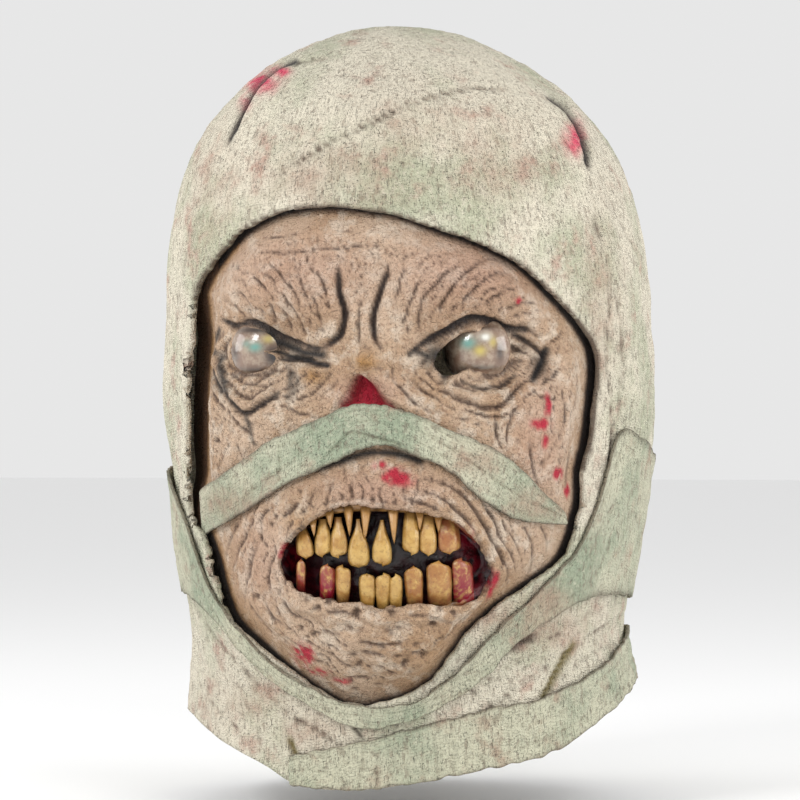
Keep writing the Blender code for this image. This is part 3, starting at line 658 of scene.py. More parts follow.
# Broad forms: across, drop, wide, tall, rise of SCULPT_DEPTH, turn in degrees.
FACE_FORMS = (
    (-0.33, 0.370, 0.26, 0.050, 0.55, 20), (0.40, 0.360, 0.28, 0.045, 0.60, -14),
    (-0.04, 0.400, 0.10, 0.060, -0.12, 0), (-0.44, 0.445, 0.19, 0.042, -1.00, 0),
    (0.42, 0.445, 0.20, 0.042, -1.00, 0), (-0.42, 0.510, 0.22, 0.032, 0.30, 8),
    (0.42, 0.510, 0.24, 0.032, 0.30, -8), (0.00, 0.452, 0.11, 0.040, 0.50, 0),
    (-0.01, 0.545, 0.16, 0.040, 0.60, 0), (-0.60, 0.540, 0.16, 0.060, 0.22, 0),
    (0.62, 0.540, 0.16, 0.060, 0.30, 0), (-0.58, 0.690, 0.16, 0.080, -0.35, 0),
    (0.62, 0.690, 0.14, 0.080, -0.30, 0), (0.05, 0.700, 0.42, 0.105, 1.00, 0),
    (0.04, 0.830, 0.26, 0.040, 0.60, 0))
# Eyeballs: across, drop of the middle.
EYES = ((-0.46, 0.443), (0.385, 0.443))
# Holes, in pixels: the two slits between the lids and the open mouth.
LEFT_LIDS = ((235, 352), (240, 342), (249, 335), (260, 334), (270, 339), (277, 347), (279, 357),
             (272, 364),
             (259, 368), (246, 364), (238, 359))
RIGHT_LIDS = ((431, 362), (437, 349), (447, 338), (459, 331), (473, 328), (486, 332), (496, 341),
              (500, 351),
              (495, 361), (482, 368), (466, 370), (452, 377), (441, 375))
MOUTH = ((388, 506), (420, 510), (447, 518), (467, 532), (482, 551), (491, 573), (488, 594), (470, 604),
         (446, 606), (416, 604), (384, 609), (350, 604), (320, 600), (297, 590), (283, 577), (278, 560),
         (288, 541), (308, 521), (336, 507), (362, 504))
# Wrinkles, in pixels: depth in mm, half width, path.
BROW_WRINKLES = (
    (0.9, 2.0, ((241, 241), (273, 237), (302, 234))), (0.8, 2.0,
                                                       ((247, 251), (285, 253), (335, 248),
                                                        (391, 246))),
    (0.5, 2.0, ((330, 232), (380, 230), (440, 240), (490, 256))),
    (3.2, 4.2, ((338, 269), (339, 291), (345, 312), (341, 333), (331, 343), (318, 350))),
    (3.0, 4.0, ((388, 267), (383, 283), (377, 301), (373, 316), (374, 335), (380, 347))),
    (1.0, 2.2, ((361, 300), (358, 322), (360, 345))),
    (1.0, 2.2, ((268, 262), (280, 275), (292, 290))), (1.1, 2.4, ((293, 262), (301, 280), (307, 298))),
    (1.2, 2.4, ((280, 306), (288, 320), (293, 335))), (1.2, 2.4, ((288, 302), (299, 318), (306, 338))),
    (0.9, 2.2, ((236, 290), (246, 299), (254, 311))), (0.9, 2.2, ((262, 292), (271, 306), (276, 324))),
    (1.0, 2.2, ((250, 272), (262, 286), (272, 300))), (1.1, 2.4, ((305, 284), (316, 304), (322, 330))),
    (0.9, 2.2, ((316, 268), (325, 290), (330, 312))), (0.8, 2.2, ((224, 300), (236, 308), (246, 320))),
    (1.3, 2.6, ((403, 326), (408, 307), (415, 291), (416, 282))),
    (1.5, 2.8, ((418, 338), (420, 309), (424, 297), (436, 284), (446, 273), (457, 268))),
    (1.4, 2.8, ((437, 326), (441, 307), (447, 295), (458, 280), (479, 263), (500, 259), (518, 265),
                (535, 277))),
    (1.3, 2.6, ((461, 312), (466, 298), (479, 284), (497, 273), (514, 274), (532, 284))),
    (1.1, 2.4, ((485, 304), (496, 297), (508, 290), (526, 288))),
    (0.9, 2.2, ((395, 300), (400, 282), (403, 268))), (0.9, 2.2, ((507, 310), (522, 303), (540, 303))),
    (0.8, 2.0, ((430, 262), (444, 254), (466, 250))))
EYE_WRINKLES = (
    (2.4, 3.2, ((223, 320), (237, 326), (251, 322), (265, 326), (279, 334), (300, 344), (316, 350))),
    (2.6, 3.6, ((286, 361), (299, 359), (314, 363), (328, 366))),
    (2.2, 3.4, ((227, 396), (244, 413), (265, 403), (279, 393))),
    (1.4, 2.4, ((229, 384), (246, 398), (262, 392), (272, 382))),
    (1.2, 2.2, ((232, 374), (247, 385), (262, 380), (273, 371))),
    (1.3, 2.4, ((227, 408), (238, 424), (253, 436))), (1.1, 2.2, ((282, 404), (300, 414), (318, 416))),
    (1.6, 2.6, ((206, 334), (212, 345), (217, 356))), (1.6, 2.6, ((206, 366), (214, 378), (222, 392))),
    (1.4, 2.6, ((211, 392), (216, 402), (226, 410))),
    (3.0, 4.4, ((410, 354), (424, 343), (437, 335), (455, 325), (473, 319), (493, 322), (507, 328),
                (525, 329),
                (537, 337))),
    (2.6, 4.2, ((545, 350), (541, 362), (535, 380))), (1.8, 3.2, ((512, 334), (528, 342), (545, 356))),
    (2.0, 3.2, ((444, 391), (465, 401), (485, 408), (502, 405), (514, 392), (524, 381))),
    (1.3, 2.4, ((461, 381), (479, 388), (500, 385), (516, 374))),
    (1.1, 2.2, ((452, 400), (474, 413), (500, 417), (520, 408))),
    (1.3, 2.4, ((537, 385), (551, 378), (560, 368))), (1.2, 2.4, ((548, 344), (558, 338), (566, 330))),
    (1.2, 2.4, ((534, 392), (546, 398), (560, 398))), (1.0, 2.2, ((404, 372), (420, 388), (436, 398))),
    (1.0, 2.2, ((400, 386), (416, 404), (436, 414))), (0.9, 2.2, ((326, 380), (312, 394), (296, 400))),
    (1.4, 2.6, ((499, 402), (496, 420), (497, 436), (505, 454))),
    (1.3, 2.4, ((518, 404), (509, 424), (505, 446))), (1.3, 2.6, ((530, 440), (532, 462), (538, 488))),
    (1.4, 2.4, ((577, 448), (573, 470), (570, 494))), (1.0, 2.4, ((560, 380), (566, 410), (560, 440))),
    (1.0, 2.4, ((578, 360), (582, 390), (578, 420))))
CHEEK_WRINKLES = (
    (1.3, 2.4, ((255, 516), (247, 535), (237, 554), (229, 576))),
    (1.4, 2.6, ((260, 538), (251, 565), (241, 604))),
    (1.3, 2.4, ((274, 552), (268, 575), (271, 598))), (1.2, 2.4, ((240, 520), (228, 540), (220, 560))),
    (1.2, 2.4, ((268, 508), (262, 520), (262, 536))), (1.1, 2.4, ((246, 600), (258, 622), (276, 640))),
    (1.1, 2.4, ((262, 596), (270, 614), (286, 628))), (1.0, 2.2, ((282, 596), (288, 610), (300, 620))),
    (1.6, 2.8, ((423, 478), (451, 487), (473, 507), (493, 540), (507, 568), (514, 589))),
    (1.4, 2.6, ((416, 490), (441, 498), (465, 519), (482, 547), (494, 568))),
    (1.3, 2.6, ((482, 498), (493, 518), (502, 540), (514, 560))),
    (1.2, 2.4, ((523, 522), (532, 540), (535, 558), (533, 574), (518, 590))),
    (1.2, 2.4, ((500, 520), (514, 540), (522, 562))), (1.0, 2.2, ((540, 524), (549, 540), (548, 560))),
    (1.1, 2.4, ((405, 498), (428, 506), (448, 519))), (1.0, 2.4, ((500, 582), (492, 600), (476, 616))),
    (1.2, 2.4, ((316, 490), (308, 504), (296, 518))), (1.1, 2.4, ((332, 484), (328, 496), (326, 508))),
    (1.0, 2.2, ((352, 478), (351, 490), (352, 502))), (1.0, 2.2, ((378, 484), (380, 496), (382, 506))),
    (2.0, 3.2, ((286, 516), (293, 507), (300, 502))), (1.0, 2.2, ((300, 640), (320, 632), (344, 634))),
    (1.3, 2.6, ((318, 616), (336, 610), (356, 616), (372, 624))),
    (1.3, 2.6, ((396, 622), (412, 614), (432, 616), (452, 622))),
    (1.2, 2.4, ((440, 640), (452, 636), (462, 626))),
    (1.2, 2.4, ((360, 640), (380, 646), (404, 642))))
# Small rolls and lumps: rise in mm, half width, path.
FACE_ROLLS = (
    (2.2, 4.6, ((210, 364), (218, 350), (230, 338), (241, 330), (255, 327), (268, 332), (279, 344),
                (285, 354))),
    (1.6, 3.6, ((218, 368), (237, 359), (251, 369), (266, 371), (280, 364), (290, 358))),
    (1.4, 4.5, ((230, 392), (247, 406), (264, 398))),
    (2.4, 3.8, ((428, 366), (435, 350), (444, 338), (458, 329), (473, 325), (490, 329), (506, 338),
                (521, 347),
                (538, 360))),
    (1.8, 3.8, ((448, 384), (462, 375), (482, 373), (500, 366), (514, 356), (528, 358))),
    (1.4, 4.4, ((452, 393), (476, 399), (500, 396), (514, 384))),
    (1.6, 3.0, ((292, 369), (308, 371), (330, 369))),
    (1.6, 6.0, ((345, 372), (341, 392), (334, 406))), (1.6, 6.0, ((376, 376), (392, 392), (404, 408))),
    (1.8, 4.4, ((290, 541), (312, 519), (338, 505), (363, 504), (388, 509), (420, 511), (450, 518),
                (472, 531),
                (486, 549), (497, 572))),
    (2.2, 6.0, ((290, 596), (312, 610), (340, 616), (368, 620), (400, 618), (430, 616), (458, 614),
                (482, 602))))
LUMPS = (
    (366, 360, 11, 8, 2.6), (253, 275, 4, 4, 1.3), (345, 404, 9, 7, 1.4), (394, 404, 9, 7, 1.4),
    (334, 622, 9, 7, 1.6), (372, 632, 11, 8, 1.5), (410, 634, 10, 7, 1.4), (446, 626, 10, 8, 1.5),
    (300, 606, 8, 6, 1.4), (350, 640, 12, 8, 1.0), (388, 655, 14, 9, 1.0), (345, 692, 4, 9, 2.2))
PITS = (
    (227, 265, 3, 3, 1.6), (236, 267, 3, 2.5, 1.4), (217, 441, 3.5, 3, 1.6), (318, 608, 4, 3, 2.2),
    (328, 602, 4, 3, 2.0), (356, 612, 4, 4, 2.0), (391, 612, 4, 3, 1.8), (432, 622, 4, 4, 2.0),
    (424, 656, 4, 4, 1.8), (452, 612, 4, 3, 1.8), (404, 664, 3, 3, 1.2), (256, 596, 3, 3, 1.6),
    (276, 516, 3, 3, 1.2), (490, 470, 3, 3, 1.2), (360, 664, 3, 3, 1.0), (300, 628, 3, 3, 1.3),
    (236, 476, 3, 3, 1.0), (408, 330, 3, 4, 1.0))
NOSE_PIT = ((356, 377), (366, 381), (377, 390), (389, 403), (394, 410), (372, 411), (342, 410),
            (347, 396))


def face_form(across, drop):
    """Height of the broad forms of the face over the head form."""
    height = 0.0
    for mid_x, mid_drop, wide, tall, rise, turn in FACE_FORMS:
        dx, dz = (across - mid_x) * HALF_WIDTH, (drop - mid_drop) * MASK_HEIGHT
        angle = math.radians(turn)
        u = (dx * math.cos(angle) + dz * math.sin(angle)) / (wide * HALF_WIDTH)
        v = (dz * math.cos(angle) - dx * math.sin(angle)) / (tall * MASK_HEIGHT)
        height = height + rise * SCULPT_DEPTH * np.exp(-(u * u + v * v))
    return height


def on_face(across, drop, lift):
    """Places over the broad forms of the face, given as they are seen from the front."""
    half, lean = (np.interp(drop, form[:, 0], form[:, k]) for k in (1, 4))
    turned = np.arcsin(np.clip((across - lean) / half, -1.0, 1.0))
    return on_form(turned, drop, face_form(across, drop) + lift)


def spot_on_face(pixels, lift):
    """Places over the face that are seen at these pixels."""
    pixels = np.array(pixels, float)
    across = (pixels[..., 0] - GUESS_PIXEL[0]) * ACROSS_PER_PIXEL
    drop = (GUESS_FALL + (pixels[..., 1] - GUESS_PIXEL[1]) * FALL_PER_PIXEL) / MASK_HEIGHT
    for _ in range(SEARCH_ROUNDS):
        miss = pixels - seen_at(on_face(across, drop, lift))
        across = across + miss[..., 0] * ACROSS_STEP
        drop = drop + miss[..., 1] * DROP_STEP
    return on_face(across, drop, lift)


def creases(across, warp):
    """Broad ridges with narrow grooves between, one for each whole number."""
    return np.abs(np.sin(np.pi * (across + warp))) ** 0.55 - 0.78


def window(spots, x, y, wide, tall):
    """Soft patch of the picture, 1 in its middle."""
    return np.exp(-(np.abs((spots[..., 0] - x) / wide) ** 3 + np.abs((spots[..., 1] - y) / tall) ** 3))


bearing, drop = np.meshgrid(np.radians(np.linspace(-68, 68, 272)), np.linspace(0.222, 0.925, 218))
lids = [smooth_line(line, 4, closed=True) for line in (LEFT_LIDS, RIGHT_LIDS)]
mouth = smooth_line(MOUTH, 4, closed=True)


def face_base(bearing, drop):
    """Lift of the face over the head form, tucked under the hood at its edge, and the spots."""
    half, lean = (np.interp(drop, form[:, 0], form[:, k]) for k in (1, 4))
    across = lean + half * np.sin(bearing)
    broad = face_form(across, drop)
    spots = seen_at(on_form(bearing, drop, broad))
    gap, _ = outline_gap(seen_at(on_form(bearing, drop)), opening)
    share = smooth_step(gap * PIXEL_MM * MM / EDGE_FADE)
    gape = LEFT_GAPE * smooth_step((-across - GAPE_ACROSS) / GAPE_FADE)
    tucked = -(HOOD_WALL + EDGE_SINK) - gape * smooth_step(2.2 - abs(drop - GAPE_DROP) / GAPE_TALL)
    return tucked + share * (broad - tucked), spots, gap, share


for line in (*lids, mouth):
    _, spots, _, _ = face_base(bearing, drop)
    bearing, drop = snap(bearing, drop, spots, line, 1.0)
base, spots, opening_gap, share = face_base(bearing, drop)
plain = on_form(bearing, drop, base)
x, y = spots[..., 0], spots[..., 1]
wander = 1.0 * mottle(plain, 0.011, 21) + 0.35 * mottle(plain, 0.004, 22)
drawn = strokes(spots, BROW_WRINKLES + EYE_WRINKLES + CHEEK_WRINKLES)
height = drawn * 1.1
height += lines(spots, FACE_ROLLS)
height += blots(spots, LUMPS) - blots(spots, PITS)
height += 1.0 * window(spots, 285, 300, 56, 42) * creases((0.82 * x - 0.57 * y) / 12.5, wander)
ring = np.hypot(x - 548, (y - 372) * 1.15)
height += 0.9 * window(spots, 480, 290, 84, 42) * creases(ring / 12.0, wander)
height += 0.5 * window(spots, 370, 262, 160, 30) * creases(x / 9.0, 1.4 * wander)
for centre_x, centre_y, side in ((256, 350, 1), (478, 350, -1)):
    ring = np.hypot((x - centre_x) * 0.8, y - centre_y)
    lower = smooth_step((y - centre_y - 8) / 14)
    height += 1.0 * lower * np.exp(-((ring - 46) / 26) ** 2) * creases(ring / 8.5, 0.8 * wander)
ring = np.hypot((x - 386) * 0.92, y - 560)
around = np.exp(-(np.maximum(ring - 95, 0) / 60) ** 2)
around = around * smooth_step((ring - 78) / 20) * smooth_step((y - 480) / 30)
height += 1.0 * around * creases(ring / 10.5, wander)
spoke = np.degrees(np.arctan2(y - 640, x - 384))
upper_lip = window(spots, 380, 490, 88, 26)
height += 0.8 * upper_lip * creases(spoke / 4.6, wander)
height += 0.7 * window(spots, 568, 430, 30, 90) * creases((x + 0.3 * y) / 9.0, wander)
height += 0.7 * window(spots, 225, 440, 38, 60) * creases((x + 0.5 * y) / 9.5, wander)
chin = window(spots, 372, 655, 90, 42)
height += chin * (0.9 * mottle(plain, 0.0055, 23) + 0.5 * mottle(plain, 0.0026, 24))
height += (0.32 * mottle(plain, 0.0021, 25) + 0.40 * mottle(plain, 0.0045, 26)
           + 0.5 * mottle(plain, 0.013, 27))
# The nose is a torn pit, and cloth crosses below it.
pit_gap, _ = outline_gap(spots, smooth_line(NOSE_PIT, 4, closed=True))
pit = smooth_step(pit_gap / 5.0 + 0.5)
height -= NOSE_DEPTH * pit
NOSE_TOP = ((199, 491), (230, 469), (265, 443), (282, 435), (314, 421), (335, 411), (356, 404),
            (376, 404),
            (395, 408), (423, 418), (462, 435), (493, 449), (514, 462), (544, 492), (566, 513))
NOSE_LOW = ((202, 536), (237, 515), (259, 501), (286, 484), (318, 469), (338, 460), (356, 451),
            (375, 446),
            (395, 447), (423, 458), (451, 471), (473, 491), (493, 506), (521, 521), (568, 524))
cloth = np.vstack((smooth_line(NOSE_TOP, 4), smooth_line(NOSE_LOW, 4)[::-1]))
cloth_gap, _ = outline_gap(spots, cloth)
covered = smooth_step((cloth_gap + 5) / 8)
height = height * (1 - 0.9 * covered) - 0.3 * covered
height *= share
# The lids close round the eyeballs and stand just over them.
for (eye_x, eye_drop), line in zip(EYES, lids):
    half, lean = (np.interp(eye_drop, form[:, 0], form[:, k]) for k in (1, 4))
    middle = on_form(math.asin((eye_x - lean) / half), eye_drop, -EYE_SINK) + (0, EYE_RADIUS, 0)
    lid_gap, _ = outline_gap(spots, line)
    level = np.stack((np.sin(bearing), -np.cos(bearing), 0 * bearing), axis=-1)
    away = plain + level * (height * MM)[..., None] - middle
    along = (away * level).sum(-1)
    inside = (EYE_RADIUS + LID_STAND) ** 2 - (away ** 2).sum(-1) + along ** 2
    need = np.where(inside > 0, -along + np.sqrt(np.maximum(inside, 0)), 0.0) / MM
    close = smooth_step(1.6 + lid_gap / 9.0) * (inside > 0)
    height += np.clip(need, 0, 30) * close
# Painted shade, dark brown: in the wrinkles, partly a real brown wash, and in the broad hollows and
# under the hood's edge.
cavity = blurred(height, 5) - height
hollow = blurred(height, 40) - height
wash_and_shade = smooth_step(cavity / 0.40 - 0.14) * 0.8
wash_and_shade = np.maximum(wash_and_shade, smooth_step(-drawn / 1.1 - 0.1) * 0.95)
wash_and_shade = np.maximum(wash_and_shade, 0.5 * smooth_step(hollow / 1.8 - 0.3))
wash_and_shade = np.maximum(wash_and_shade, 0.9 * (1 - smooth_step(opening_gap / 7.0)))
# Painted shadow, near black: in the eye sockets under the brows, in the corners of the eyes, in deep
# brow grooves, in the gap under the nose bandage, at the corners of the mouth and in the gap under the
# hood's edge.
painted_shadow = lines(spots, (
    (1.0, 2.6, ((286, 361), (299, 359), (314, 363), (328, 366))),
    (0.8, 2.8, ((223, 320), (237, 326), (251, 322), (265, 326), (279, 334), (300, 344), (318, 349))),
    (0.9, 3.4, ((410, 354), (424, 343), (437, 335), (455, 325), (473, 319), (493, 322), (507, 328),
                (525, 330))),
    (0.9, 5.0, ((418, 352), (432, 360), (444, 378))), (1.0, 5.5, ((546, 350), (541, 364), (533, 378))),
    (0.8, 3.5, ((514, 334), (530, 345), (545, 356))), (0.7, 2.6, ((458, 368), (482, 369), (500, 362))),
    (0.8, 2.6, ((227, 396), (244, 413), (265, 403), (279, 393))),
    (0.8, 3.0, ((206, 366), (214, 378), (222, 392))),
    (0.8, 3.0, ((206, 334), (212, 345), (216, 354))), (0.7, 2.4,
                                                       ((461, 382), (479, 388), (500, 386),
                                                        (516, 375))),
    (0.8, 3.0, ((339, 275), (341, 300), (344, 314), (340, 333), (330, 343))),
    (0.7, 2.8, ((386, 275), (378, 300), (373, 318), (375, 336))),
    (1.0, 5.0, ((318, 468), (338, 462), (358, 455), (376, 452), (398, 454), (420, 461))),
    (1.0, 3.0, ((283, 560), (288, 546), (305, 527), (335, 511))),
    (0.9, 3.0, ((482, 555), (490, 574), (486, 593)))))
painted_shadow = np.maximum(painted_shadow, lines(spots, (
    (1.0, 6.0, ((270, 331), (286, 343), (304, 352), (322, 355))),
    (1.0, 4.0, ((280, 348), (292, 356), (312, 358))),
    (0.9, 4.0, ((217, 330), (213, 342), (218, 352))), (0.9, 5.0, ((222, 360), (222, 376), (227, 392))),
    (0.8, 3.0, ((246, 414), (251, 430), (254, 444))), (0.6, 4.0,
                                                       ((292, 372), (298, 384), (288, 398))))))
edge_shadow = 0.9 * (1 - smooth_step((opening_gap - 0.5) / 3.5))
painted_shadow = np.maximum(painted_shadow, edge_shadow * (1 - 0.8 * (x < 208) * (y < 530)))
painted_shadow = np.maximum(painted_shadow, blots(spots, ((291, 382, 7, 15, 0.85), (434, 356, 14, 18, 1.0),
                                      (540, 364, 9, 14, 0.9),
                                      (212, 380, 6, 14, 0.5), (526, 345, 12, 8, 0.6),
                                      (302, 556, 12, 8, 0.4))))
painted_shadow *= smooth_step(0.9 + 0.7 * mottle(plain, 0.0035, 31) + (painted_shadow - 0.5))
blood = blots(spots, (
    (397, 476, 15, 9, 1.4), (380, 466, 8, 6, 1.0), (410, 484, 7, 6, 1.0), (518, 301, 5, 4, 0.9),
    (548, 404, 5, 12, 1.2), (541, 424, 10, 6, 1.3), (545, 442, 4, 8, 1.1), (560, 474, 7, 7, 1.2),
    (572, 490, 5, 8, 1.2), (302, 655, 14, 13, 1.1), (316, 672, 14, 6, 0.9), (340, 681, 12, 4, 0.8),
    (286, 552, 8, 9, 1.2), (493, 584, 6, 14, 1.3), (462, 540, 11, 16, 0.9), (366, 392, 12, 9, 1.5)))
blood = smooth_step(blood * (1.0 + 0.9 * mottle(plain, (0.0016, 0.0016, 0.0030), 32)) - 0.15)
blood = np.maximum(blood, pit * 0.9)
ochre = np.maximum(blots(spots, (
    (366, 362, 12, 9, 0.9), (314, 377, 12, 8, 0.8), (300, 520, 16, 12, 0.5), (470, 545, 12, 16, 0.5),
    (440, 660, 40, 40, 0.35), (520, 600, 40, 20, 0.4), (240, 620, 24, 30, 0.3))),
    0.9 * (1 - smooth_step(opening_gap / 12.0)) * (x < 230))
rosy = blots(spots, ((300, 270, 90, 40, 0.5), (470, 270, 90, 40, 0.6), (366, 392, 30, 16, 0.8),
                     (260, 560, 30, 50, 0.4), (540, 440, 30, 60, 0.5), (380, 490, 60, 20, 0.6)))
places = plain + face_outwards(plain) * height[..., None] * MM
cell_gap = [(gap[:-1, :-1] + gap[1:, :-1] + gap[:-1, 1:] + gap[1:, 1:]) / 4
            for gap in (*(outline_gap(spots, line)[0] for line in (*lids, mouth)), opening_gap)]
left_out = (cell_gap[0] > 0) | (cell_gap[1] > 0) | (cell_gap[2] > 0) | (cell_gap[3] < -13)
painted = {"wash_and_shade": wash_and_shade, "painted_shadow": np.clip(painted_shadow, 0, 1), "blood": np.clip(blood, 0, 1), "ochre": ochre,
           "rosy": rosy}
skin = net_piece("face_latex", places, painted, left_out, wall=SKIN_WALL)

skin_finish, tree, shader = new_finish("face_skin", 0.58)
large, middle, fine = grain(tree, 0.030), grain(tree, 0.008, 5), grain(tree, 0.0016, 3, 0.7)
color = paint(tree, between(tree, large, 0.38, 0.64), shade(198, 170, 144), shade(178, 146, 116))
color = paint(tree, between(tree, middle, 0.46, 0.66), color, shade(214, 194, 172))
color = paint(tree, mark(tree, "rosy"), color, shade(188, 148, 128))
color = paint(tree, mark(tree, "ochre"), color, shade(166, 120, 62))
pores = reckon(tree, "MULTIPLY", between(tree, fine, 0.52, 0.68), 0.55)
color = paint(tree, pores, color, shade(120, 86, 62))
# Dark brown from the mark of wash and painted shade.
color = paint(tree, mark(tree, "wash_and_shade"), color, shade(62, 38, 26))
color = paint(tree, mark(tree, "blood"), color, shade(178, 26, 52))
# Near black from the mark of painted shadow.
color = paint(tree, mark(tree, "painted_shadow"), color, shade(18, 11, 9))
tree.links.new(color, shader.inputs["Base Color"])
cracks = tree.nodes.new("ShaderNodeTexVoronoi")
cracks.feature = "DISTANCE_TO_EDGE"
cracks.inputs["Scale"].default_value = 520.0
spot = tree.nodes.new("ShaderNodeTexCoord")
tree.links.new(spot.outputs["Object"], cracks.inputs["Vector"])
relief(tree, shader, (
    (grain(tree, 0.0022, 4, 0.7, (1.0, 1.0, 0.6)), 0.0032, 0.9),
    (between(tree, cracks.outputs["Distance"], 0.0, 0.16), 0.0005, 0.6),
    (grain(tree, 0.0008, 2, 0.7), 0.0008, 0.6)))
skin.data.materials.append(skin_finish)
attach(skin, "root")
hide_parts("face_skin")

# Eyeballs: latex domes behind the lids, clouded grey-green, glossed, with painted highlights and
# shadow.
EYE_WALL = 0.0020
EYE_REACH = math.radians(62)
EYE_STEPS = 24
EYE_SPOKES = 64
eye_finish, tree, shader = new_finish("clouded_eye", 0.16)
shader.inputs["Coat Weight"].default_value = 0.6
shader.inputs["Coat Roughness"].default_value = 0.05
cloud = grain(tree, 0.0035, 4)
color = paint(tree, between(tree, cloud, 0.40, 0.66), shade(128, 104, 88), shade(158, 140, 122))
color = paint(tree, mark(tree, "teal"), color, shade(104, 150, 140))
color = paint(tree, mark(tree, "yellow"), color, shade(190, 172, 92))
# Painted highlights: small pale spots on the eyeballs.
color = paint(tree, mark(tree, "pale_and_glint"), color, shade(190, 190, 178))
# Painted shadow, near black: under the lids and in the socket.
color = paint(tree, mark(tree, "painted_shadow"), color, shade(24, 15, 12))
tree.links.new(color, shader.inputs["Base Color"])
relief(tree, shader, ((grain(tree, 0.0015, 3), 0.0003, 0.35),))
# The pale spots are painted highlights, and the black is painted shadow under the lids and in the
# socket.
# Paint on the eyeballs, in pixels: x, y, half width, half height, strength.
EYE_PAINT = (
    {"teal": ((255, 347, 7, 5, 1.0), (247, 344, 5, 4, 0.6)), "yellow": ((269, 339, 6, 4, 0.8),),
     "pale_and_glint": ((252, 342, 3, 2, 0.7),), "painted_shadow": ((274, 356, 9, 10, 1.1), (235, 354, 4, 10, 0.7),
                                                (258, 330, 26, 4, 0.9),
                                               (258, 371, 24, 4, 0.8))},
    {"teal": ((468, 343, 8, 6, 1.0),), "yellow": ((480, 351, 6, 5, 0.9), (493, 342, 4, 5, 0.7)),
     "pale_and_glint": ((485, 337, 6, 4, 0.9), (470, 336, 3, 2, 0.7)),
     "painted_shadow": ((440, 362, 14, 24, 1.3), (476, 327, 30, 3, 0.8), (478, 368, 24, 3, 0.7),
              (500, 352, 4, 10, 0.8))})
for name, (across, eye_drop), paints in zip(("eye_left", "eye_right"), EYES, EYE_PAINT):
    half, lean = (np.interp(eye_drop, form[:, 0], form[:, k]) for k in (1, 4))
    turned = math.asin((across - lean) / half)
    middle = on_form(turned, eye_drop, -EYE_SINK) + (0, EYE_RADIUS, 0)
    dome = bmesh.new()
    profile = [dome.verts.new((EYE_RADIUS * math.sin(EYE_REACH * k / EYE_STEPS), 0,
                               EYE_RADIUS * math.cos(EYE_REACH * k / EYE_STEPS)))
               for k in range(EYE_STEPS + 1)]
    edges = [dome.edges.new(pair) for pair in zip(profile, profile[1:])]
    bmesh.ops.spin(dome, geom=profile + edges, cent=(0, 0, 0), axis=(0, 0, 1), angle=2 * math.pi,
                   steps=EYE_SPOKES, use_merge=True)
    bmesh.ops.remove_doubles(dome, verts=dome.verts, dist=0.001 * MM)
    move = Matrix.Translation(middle) @ Matrix.Rotation(math.radians(90), 4, "X")
    bmesh.ops.transform(dome, matrix=move, verts=dome.verts)
    bmesh.ops.recalc_face_normals(dome, faces=dome.faces)
    if sum(face.normal.dot(face.calc_center_median() - Vector(middle)) for face in dome.faces) < 0:
        bmesh.ops.reverse_faces(dome, faces=dome.faces)
    spots = seen_at(np.array([vert.co for vert in dome.verts]))
    for key in ("teal", "yellow", "pale_and_glint", "painted_shadow"):
        layer = dome.verts.layers.float.new(key)
        for vert, value in zip(dome.verts, np.clip(blots(spots, paints[key]), 0, 1)):
            vert[layer] = value
    eyeball = smooth_piece(name + "_glossed", dome, EYE_WALL)
    eyeball.data.materials.append(eye_finish)
    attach(eyeball, "root")
    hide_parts(name)

# Mouth lining: the dished floor of the open mouth, black latex with wet dark red and purple flesh.
MOUTH_MIDDLE = (384, 560)
MOUTH_REACH = (122, 60)
LIP_OVERLAP = 0.0036
LINING_WALL = 0.0012
# Depth of the dished floor in mm, and how far its rim rises from there.
FLOOR_DEPTH = 12.0
RIM_RISE = 6.2
turns, rings = np.meshgrid(np.linspace(0, 2 * math.pi, 97), np.linspace(0.0, 1.0, 40))
pixels = np.stack((MOUTH_MIDDLE[0] + MOUTH_REACH[0] * rings * np.cos(turns),
                   MOUTH_MIDDLE[1] + MOUTH_REACH[1] * rings * np.sin(turns)), axis=-1)
floor = -FLOOR_DEPTH + RIM_RISE * smooth_step((rings - 0.76) / 0.2)
flat = spot_on_face(pixels, 0.0)
floor = floor + 0.9 * mottle(flat, 0.006, 41) * (1 - rings) + 0.4 * mottle(flat, 0.002, 42)
flesh = np.clip(blots(pixels, ((290, 560, 14, 16, 1.0), (300, 580, 12, 14, 0.8),
                               (470, 575, 16, 28, 0.9),
                               (460, 540, 20, 14, 0.8), (330, 585, 20, 14, 0.5),
                               (440, 598, 40, 8, 0.5))), 0, 1)
lining = net_piece("mouth_floor", spot_on_face(pixels, floor * MM), {"flesh": flesh}, closed=True,
                   wall=LINING_WALL)
lining_finish, tree, shader = new_finish("mouth_lining", 0.32)
color = paint(tree, between(tree, grain(tree, 0.006, 4), 0.35, 0.7), shade(16, 8, 10),
              shade(46, 20, 26))
torn = reckon(tree, "MULTIPLY", mark(tree, "flesh"), between(tree, grain(tree, 0.003, 4), 0.35, 0.6))
color = paint(tree, torn, color, shade(122, 18, 36))
tree.links.new(color, shader.inputs["Base Color"])
relief(tree, shader, ((grain(tree, 0.003, 4), 0.0010, 0.7),))
lining.data.materials.append(lining_finish)
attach(lining, "root")
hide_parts("mouth_lining")

# Teeth: worn pegs standing in two ridges of gum, cast in latex, painted yellow with a brown wash
# and painted shade between and behind them. They sit behind the lips, and the two rows are separate.
TOOTH_DEPTH = 0.0062
PEG_STEPS = 22
PEG_SIDES = 33
# Gum ridges: sides, half height in pixels, sink and half depth in mm.
GUM_SIDES = 25
GUM_HALF = 7.5
GUM_SINK = 2.9
GUM_DEEP = 2.6
